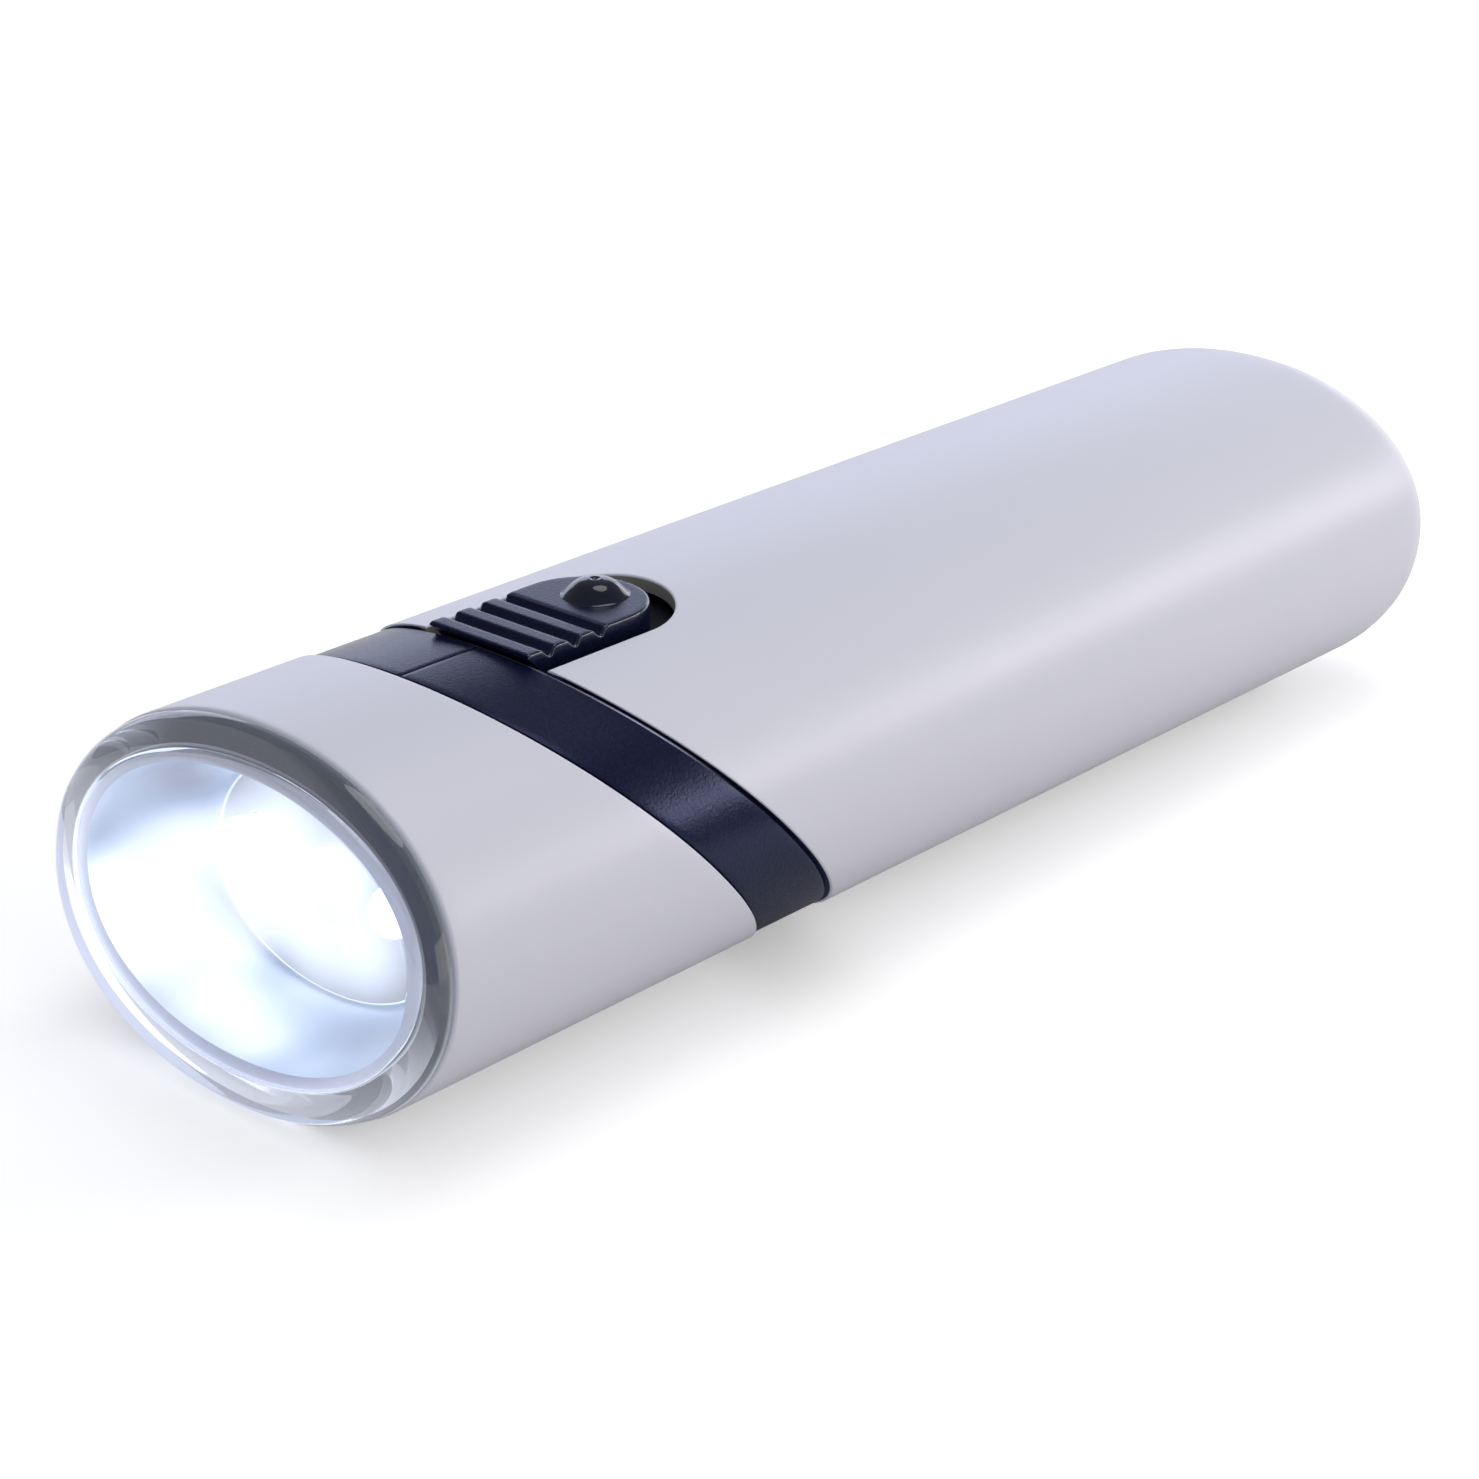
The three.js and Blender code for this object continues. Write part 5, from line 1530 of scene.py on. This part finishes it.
@dataclass
class CopiedPieces:
    """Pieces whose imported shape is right: copied, merged, and given soft edges and a finish."""

    oval: BodyOval
    band_skin: float = 0.8
    tube_inset: float = 1.6
    tube_margin: float = 0.02
    merge_mm: float = 0.002
    flat_degrees: float = 0.6
    sharp_degrees: float = 31.0
    bevel_degrees: float = 40.0
    bevel_segments: int = 2

    def copy(self, node: str, finish: Finish, edge_mm: float) -> Piece:
        """Copies a node's mesh into a new piece and bevels its hard edges.

        Args:
            node: the node's name.
            finish: the piece's finish.
            edge_mm: width of its soft edges, or 0.
        Returns:
            The piece.
        """
        mesh = frame["nodes"][node].data.copy()
        mesh.name = f"{node}_fine"
        mesh.materials.clear()
        mesh.materials.append(finish.material())
        mesh.polygons.foreach_set("material_index", np.zeros(len(mesh.polygons), np.int32))
        work = bmesh.new()
        work.from_mesh(mesh)
        bmesh.ops.remove_doubles(work, verts=work.verts, dist=self.merge_mm * MM)
        bmesh.ops.dissolve_limit(work, angle_limit=math.radians(self.flat_degrees), verts=work.verts,
                                 edges=work.edges)
        work.to_mesh(mesh)
        work.free()
        smooth(mesh, self.sharp_degrees)
        piece = linked(f"{node}_fine", mesh)
        if edge_mm:
            bevel = piece.modifiers.new("soft_edges", "BEVEL")
            bevel.width = edge_mm * MM
            bevel.segments = self.bevel_segments
            bevel.limit_method = "ANGLE"
            bevel.angle_limit = math.radians(self.bevel_degrees)
            bevel.harden_normals = False
        return piece

    def sink_band(self, piece: Piece) -> None:
        """Draws the copied band's faceted outside in below the fine band that covers it.

        Points past the tube, where (|x/a|^p + |z/b|^p)^(1/p) is larger, go to the band's inner oval.

        Args:
            piece: a copied chassis half.
        """
        mesh = piece.data
        flat = np.zeros(len(mesh.vertices) * 3, np.float32)
        mesh.vertices.foreach_get("co", flat)
        points = flat.reshape(-1, 3) / MM - np.array(self.oval.origin)
        a, b, p = self.oval.half_width, self.oval.half_height, self.oval.power
        level = (np.abs(points[:, 0] / a) ** p + np.abs(points[:, 2] / b) ** p) ** (1 / p)
        proud = level > 1 - self.tube_inset / b + self.tube_margin
        share = np.where(proud, (1 - self.band_skin / b) / np.maximum(level, TINY), 1)
        points[:, (0, 2)] *= share[:, None]
        mesh.vertices.foreach_set("co", self.oval.placed(points).astype(np.float32).ravel())
        mesh.update()

    def build(self) -> None:
        """Copies every piece that has no fine surface of its own."""
        groups = (
            (SHADED_CHASSIS, 0.0, Body.TORCH, ("chassis_left", "chassis_right")),
            (LAMINATE, 0.1, Body.TORCH, ("lamp_board",)),
            (RESISTOR_COAT, 0.0, Body.TORCH, ("resistor",)),
            (SCREW, 0.0, Body.TORCH, ("board_screw_1", "board_screw_2", "chassis_screw_1",
                                      "chassis_screw_2", "chassis_screw_3")),
            (ACETAL, 0.15, Body.SLIDE, ("switch_carriage",)),
            (BRASS, 0.05, Body.SLIDE, ("contact_bridge",)),
            (SPRING, 0.0, Body.TORCH, ("detent_spring",)),
            (BRASS, 0.06, Body.TORCH, ("positive_contact", "lamp_contact", "long_contact_strip")),
            (SPRING, 0.0, Body.TORCH, ("grip_spring_left", "grip_spring_right")),
        )
        slots = {entry["node"]: entry["material_slot"] for entry in frame["record"]["subparts"]}
        for finish, edge, body, nodes in groups:
            for node in nodes:
                piece = self.copy(node, finish, edge)
                if finish is SHADED_CHASSIS:
                    self.sink_band(piece)
                seat(piece, body, slots[node], node)


@dataclass(frozen=True)
class StudioPaper(Finish):
    """Pale paper that camera, glossy and transmitted rays see a little brighter, up to white.

    For glossy rays the lift fades out towards the torch and the colour darkens there: a painted shadow that
    mirrored rays see.
    """

    lift: float = 0.37
    shade_reach: tuple[float, float] = (25.0, 80.0)
    shade_length: float = 2.4
    shade_colour: str = "#BEBEBE"

    def near(self, tree: Tree) -> Socket:
        """1 for glossy rays beside the torch, falling to 0 away from it, and 0 for other rays.

        Args:
            tree: the paper's node tree.
        Returns:
            The output socket.
        """
        path = add_node(tree, "ShaderNodeLightPath").outputs
        where = add_node(tree, "ShaderNodeTexCoord").outputs["Object"]
        share = add_node(tree, "ShaderNodeVectorMath", {
            "operation": "MULTIPLY", 1: (1 / MM, 1 / (MM * self.shade_length), 0)}, {0: where})
        away = add_node(tree, "ShaderNodeVectorMath", {"operation": "LENGTH"}, {0: share.outputs["Vector"]})
        close = add_node(tree, "ShaderNodeMapRange", {
            "interpolation_type": "SMOOTHSTEP", "From Min": self.shade_reach[0],
            "From Max": self.shade_reach[1], "To Min": 1.0, "To Max": 0.0}, {"Value": away.outputs["Value"]})
        return add_node(tree, "ShaderNodeMath", {"operation": "MULTIPLY"},
                        {0: path["Is Glossy Ray"], 1: close.outputs["Result"]}).outputs[0]

    def base_colour(self, tree: Tree) -> Socket:
        """The paper's colour, with a painted shadow where glossy rays see it beside the torch."""
        return add_node(tree, "ShaderNodeMix", {
            "data_type": "RGBA", MIX_A: linear(self.colour), MIX_B: linear(self.shade_colour),
        }, {"Factor": self.near(tree)}).outputs[MIX_OUT]

    def extras(self, tree: Tree, shader: Node) -> None:
        """Links the lift, even for camera and transmitted rays, to the emission's strength.

        Args:
            tree: the paper's node tree.
            shader: its surface shader.
        """
        path = add_node(tree, "ShaderNodeLightPath").outputs
        glossy = add_node(tree, "ShaderNodeMath", {"operation": "SUBTRACT"},
                          {0: path["Is Glossy Ray"], 1: self.near(tree)})
        seen = add_node(tree, "ShaderNodeMath", {"operation": "ADD"},
                        {0: path["Is Camera Ray"], 1: glossy.outputs[0]})
        either = add_node(tree, "ShaderNodeMath", {"operation": "ADD", "use_clamp": True},
                          {0: seen.outputs[0], 1: path["Is Transmission Ray"]})
        level = add_node(tree, "ShaderNodeMath", {"operation": "MULTIPLY", 1: self.lift},
                         {0: either.outputs[0]})
        shader.inputs["Emission Color"].default_value = linear("#FFFFFF")
        tree.links.new(level.outputs[0], shader.inputs["Emission Strength"])


@dataclass(frozen=True)
class SoftBox:
    """A lamp that faces the torch.

    Its azimuth is in degrees from +x towards +y and its elevation above the floor, its distance
    and size in metres. A level of 1 renders as white. Glossy surfaces show it where it is mirrored.
    """

    name: str
    azimuth: float
    elevation: float
    distance: float
    size: tuple[float, float]
    level: float
    colour: str
    shape: LampShape = LampShape.BOX
    mirrored: bool = True
    aim_height: float = 0.017

    def build(self) -> None:
        """Makes the lamp, with its level times pi times its area as its power."""
        a, e = math.radians(self.azimuth), math.radians(self.elevation)
        away = Vector((math.cos(a) * math.cos(e), math.sin(a) * math.cos(e), math.sin(e)))
        data = bpy.data.lights.new(self.name, "AREA")
        data.shape = self.shape.value
        data.size, data.size_y = self.size
        area = self.size[0] * self.size[1] * (math.pi / 4 if self.shape is LampShape.ROUND else 1)
        data.energy = self.level * math.pi * area
        data.color = linear(self.colour)[:3]
        lamp = linked(self.name, data)
        lamp.visible_glossy = self.mirrored
        turn = away.to_track_quat("Z", "Y").to_matrix().to_4x4()
        lamp.matrix_world = Matrix.Translation(away * self.distance + Vector((0, 0, self.aim_height))) @ turn


@dataclass
class Studio:
    """Pale floor, a dim even room with soft boxes round the torch, and the camera.

    The camera's azimuth is in degrees from -y towards +x, and it aims at a point given in
    millimetres round the torch's axis.
    """

    oval: BodyOval
    azimuth: float = 42.23
    elevation: float = 23.14
    distance_mm: float = 350.5
    aim_mm: tuple[float, float, float] = (-5.287, 69.26, -6.823)
    lens_mm: float = 82.76
    sensor_mm: float = 36.0
    clip_m: tuple[float, float] = (0.01, 20.0)
    floor_m: float = 6.0
    floor_colour: str = "#EEEDEA"
    horizon: str = "#8E9096"
    zenith: str = "#7C7F88"
    room_level: float = 0.9

    def make_floor(self) -> None:
        """A wide pale plane that the torch lies on."""
        half = self.floor_m / 2
        mesh = bpy.data.meshes.new("studio_floor")
        mesh.from_pydata([(-half, -half, 0), (half, -half, 0), (half, half, 0), (-half, half, 0)], [],
                         [(0, 1, 2, 3)])
        paper = StudioPaper("pale_studio_paper", self.floor_colour, roughness=0.9, grain_mm=8)
        mesh.materials.append(paper.material())
        floor = linked("studio_floor", mesh)

    def make_world(self) -> None:
        """Dim room light, a little brighter at the horizon than overhead."""
        world = bpy.data.worlds.new("studio_world")
        world.use_nodes = True
        tree = world.node_tree
        tree.nodes.clear()
        way = add_node(tree, "ShaderNodeTexCoord").outputs["Generated"]
        up = add_node(tree, "ShaderNodeSeparateXYZ", links={0: way}).outputs["Z"]
        ramp = add_node(tree, "ShaderNodeValToRGB", links={0: up})
        stops = ramp.color_ramp.elements
        stops[0].color, stops[1].color = linear(self.horizon), linear(self.zenith)
        back = add_node(tree, "ShaderNodeBackground", {"Strength": self.room_level},
                        {"Color": ramp.outputs["Color"]})
        add_node(tree, "ShaderNodeOutputWorld", links={"Surface": back.outputs["Background"]})
        bpy.context.scene.world = world

    def make_camera(self) -> None:
        """A camera at the azimuth and elevation, looking at the aim point from the distance."""
        a, e = math.radians(self.azimuth), math.radians(self.elevation)
        back = Vector((math.sin(a) * math.cos(e), -math.cos(a) * math.cos(e), math.sin(e)))
        right = Vector((math.cos(a), math.sin(a), 0))
        up = back.cross(right)
        aim = Vector(self.oval.placed(np.array([self.aim_mm]))[0])
        data = bpy.data.cameras.new("photo_camera")
        data.lens, data.sensor_width = self.lens_mm, self.sensor_mm
        data.sensor_fit = "HORIZONTAL"
        data.clip_start, data.clip_end = self.clip_m
        camera = linked("photo_camera", data)
        place = Matrix((right, up, back)).transposed().to_4x4()
        camera.matrix_world = Matrix.Translation(aim + back * self.distance_mm * MM) @ place
        bpy.context.scene.camera = camera

    def build(self) -> None:
        """Makes the floor, the world, the lights and the camera."""
        self.make_floor()
        self.make_world()
        for lamp in (
            SoftBox("overhead", -60, 82, 1.5, (2.0, 2.0), 0.93, "#FBFCFF", mirrored=False),
            SoftBox("tail_overhead", 95, 76, 0.6, (0.34, 0.34), 2.1, "#FBFCFF", LampShape.ROUND),
            SoftBox("flank_softbox", 52, 24, 0.8, (0.5, 0.15), 7.7, "#FFFBF8"),
            SoftBox("side_card", 0, 10, 1.0, (0.8, 0.5), 1.45, "#FFFAF4"),
            SoftBox("tail_card", 92, 10, 0.8, (0.5, 0.3), 1.6, "#FFFFFF"),
            SoftBox("rear_card", 139, 15, 0.9, (1.15, 0.4), 1.6, "#D9E1FB"),
        ):
            lamp.build()
        self.make_camera()
        bpy.context.scene.view_settings.view_transform = "Standard"
        LOG.info("studio ready")


def main() -> None:
    """Builds the torch's sub-assemblies in order, then the studio."""
    logging.basicConfig(level=logging.INFO, format="%(name)s: %(message)s")
    band = BandPlanes()
    oval = BodyOval.from_frame(band)
    LOG.info("axis origin in mm: %s", np.round(oval.origin, 3))
    Shells(oval, band).build()
    ClearCap(oval).build()
    LampUnit(oval).build()
    Band(oval, band).build()
    ThumbSlide(oval, band).build()
    Cells(oval).build()
    TailSpring(oval).build()
    CopiedPieces(oval).build()
    Studio(oval).build()


if __name__ == "__main__":
    main()
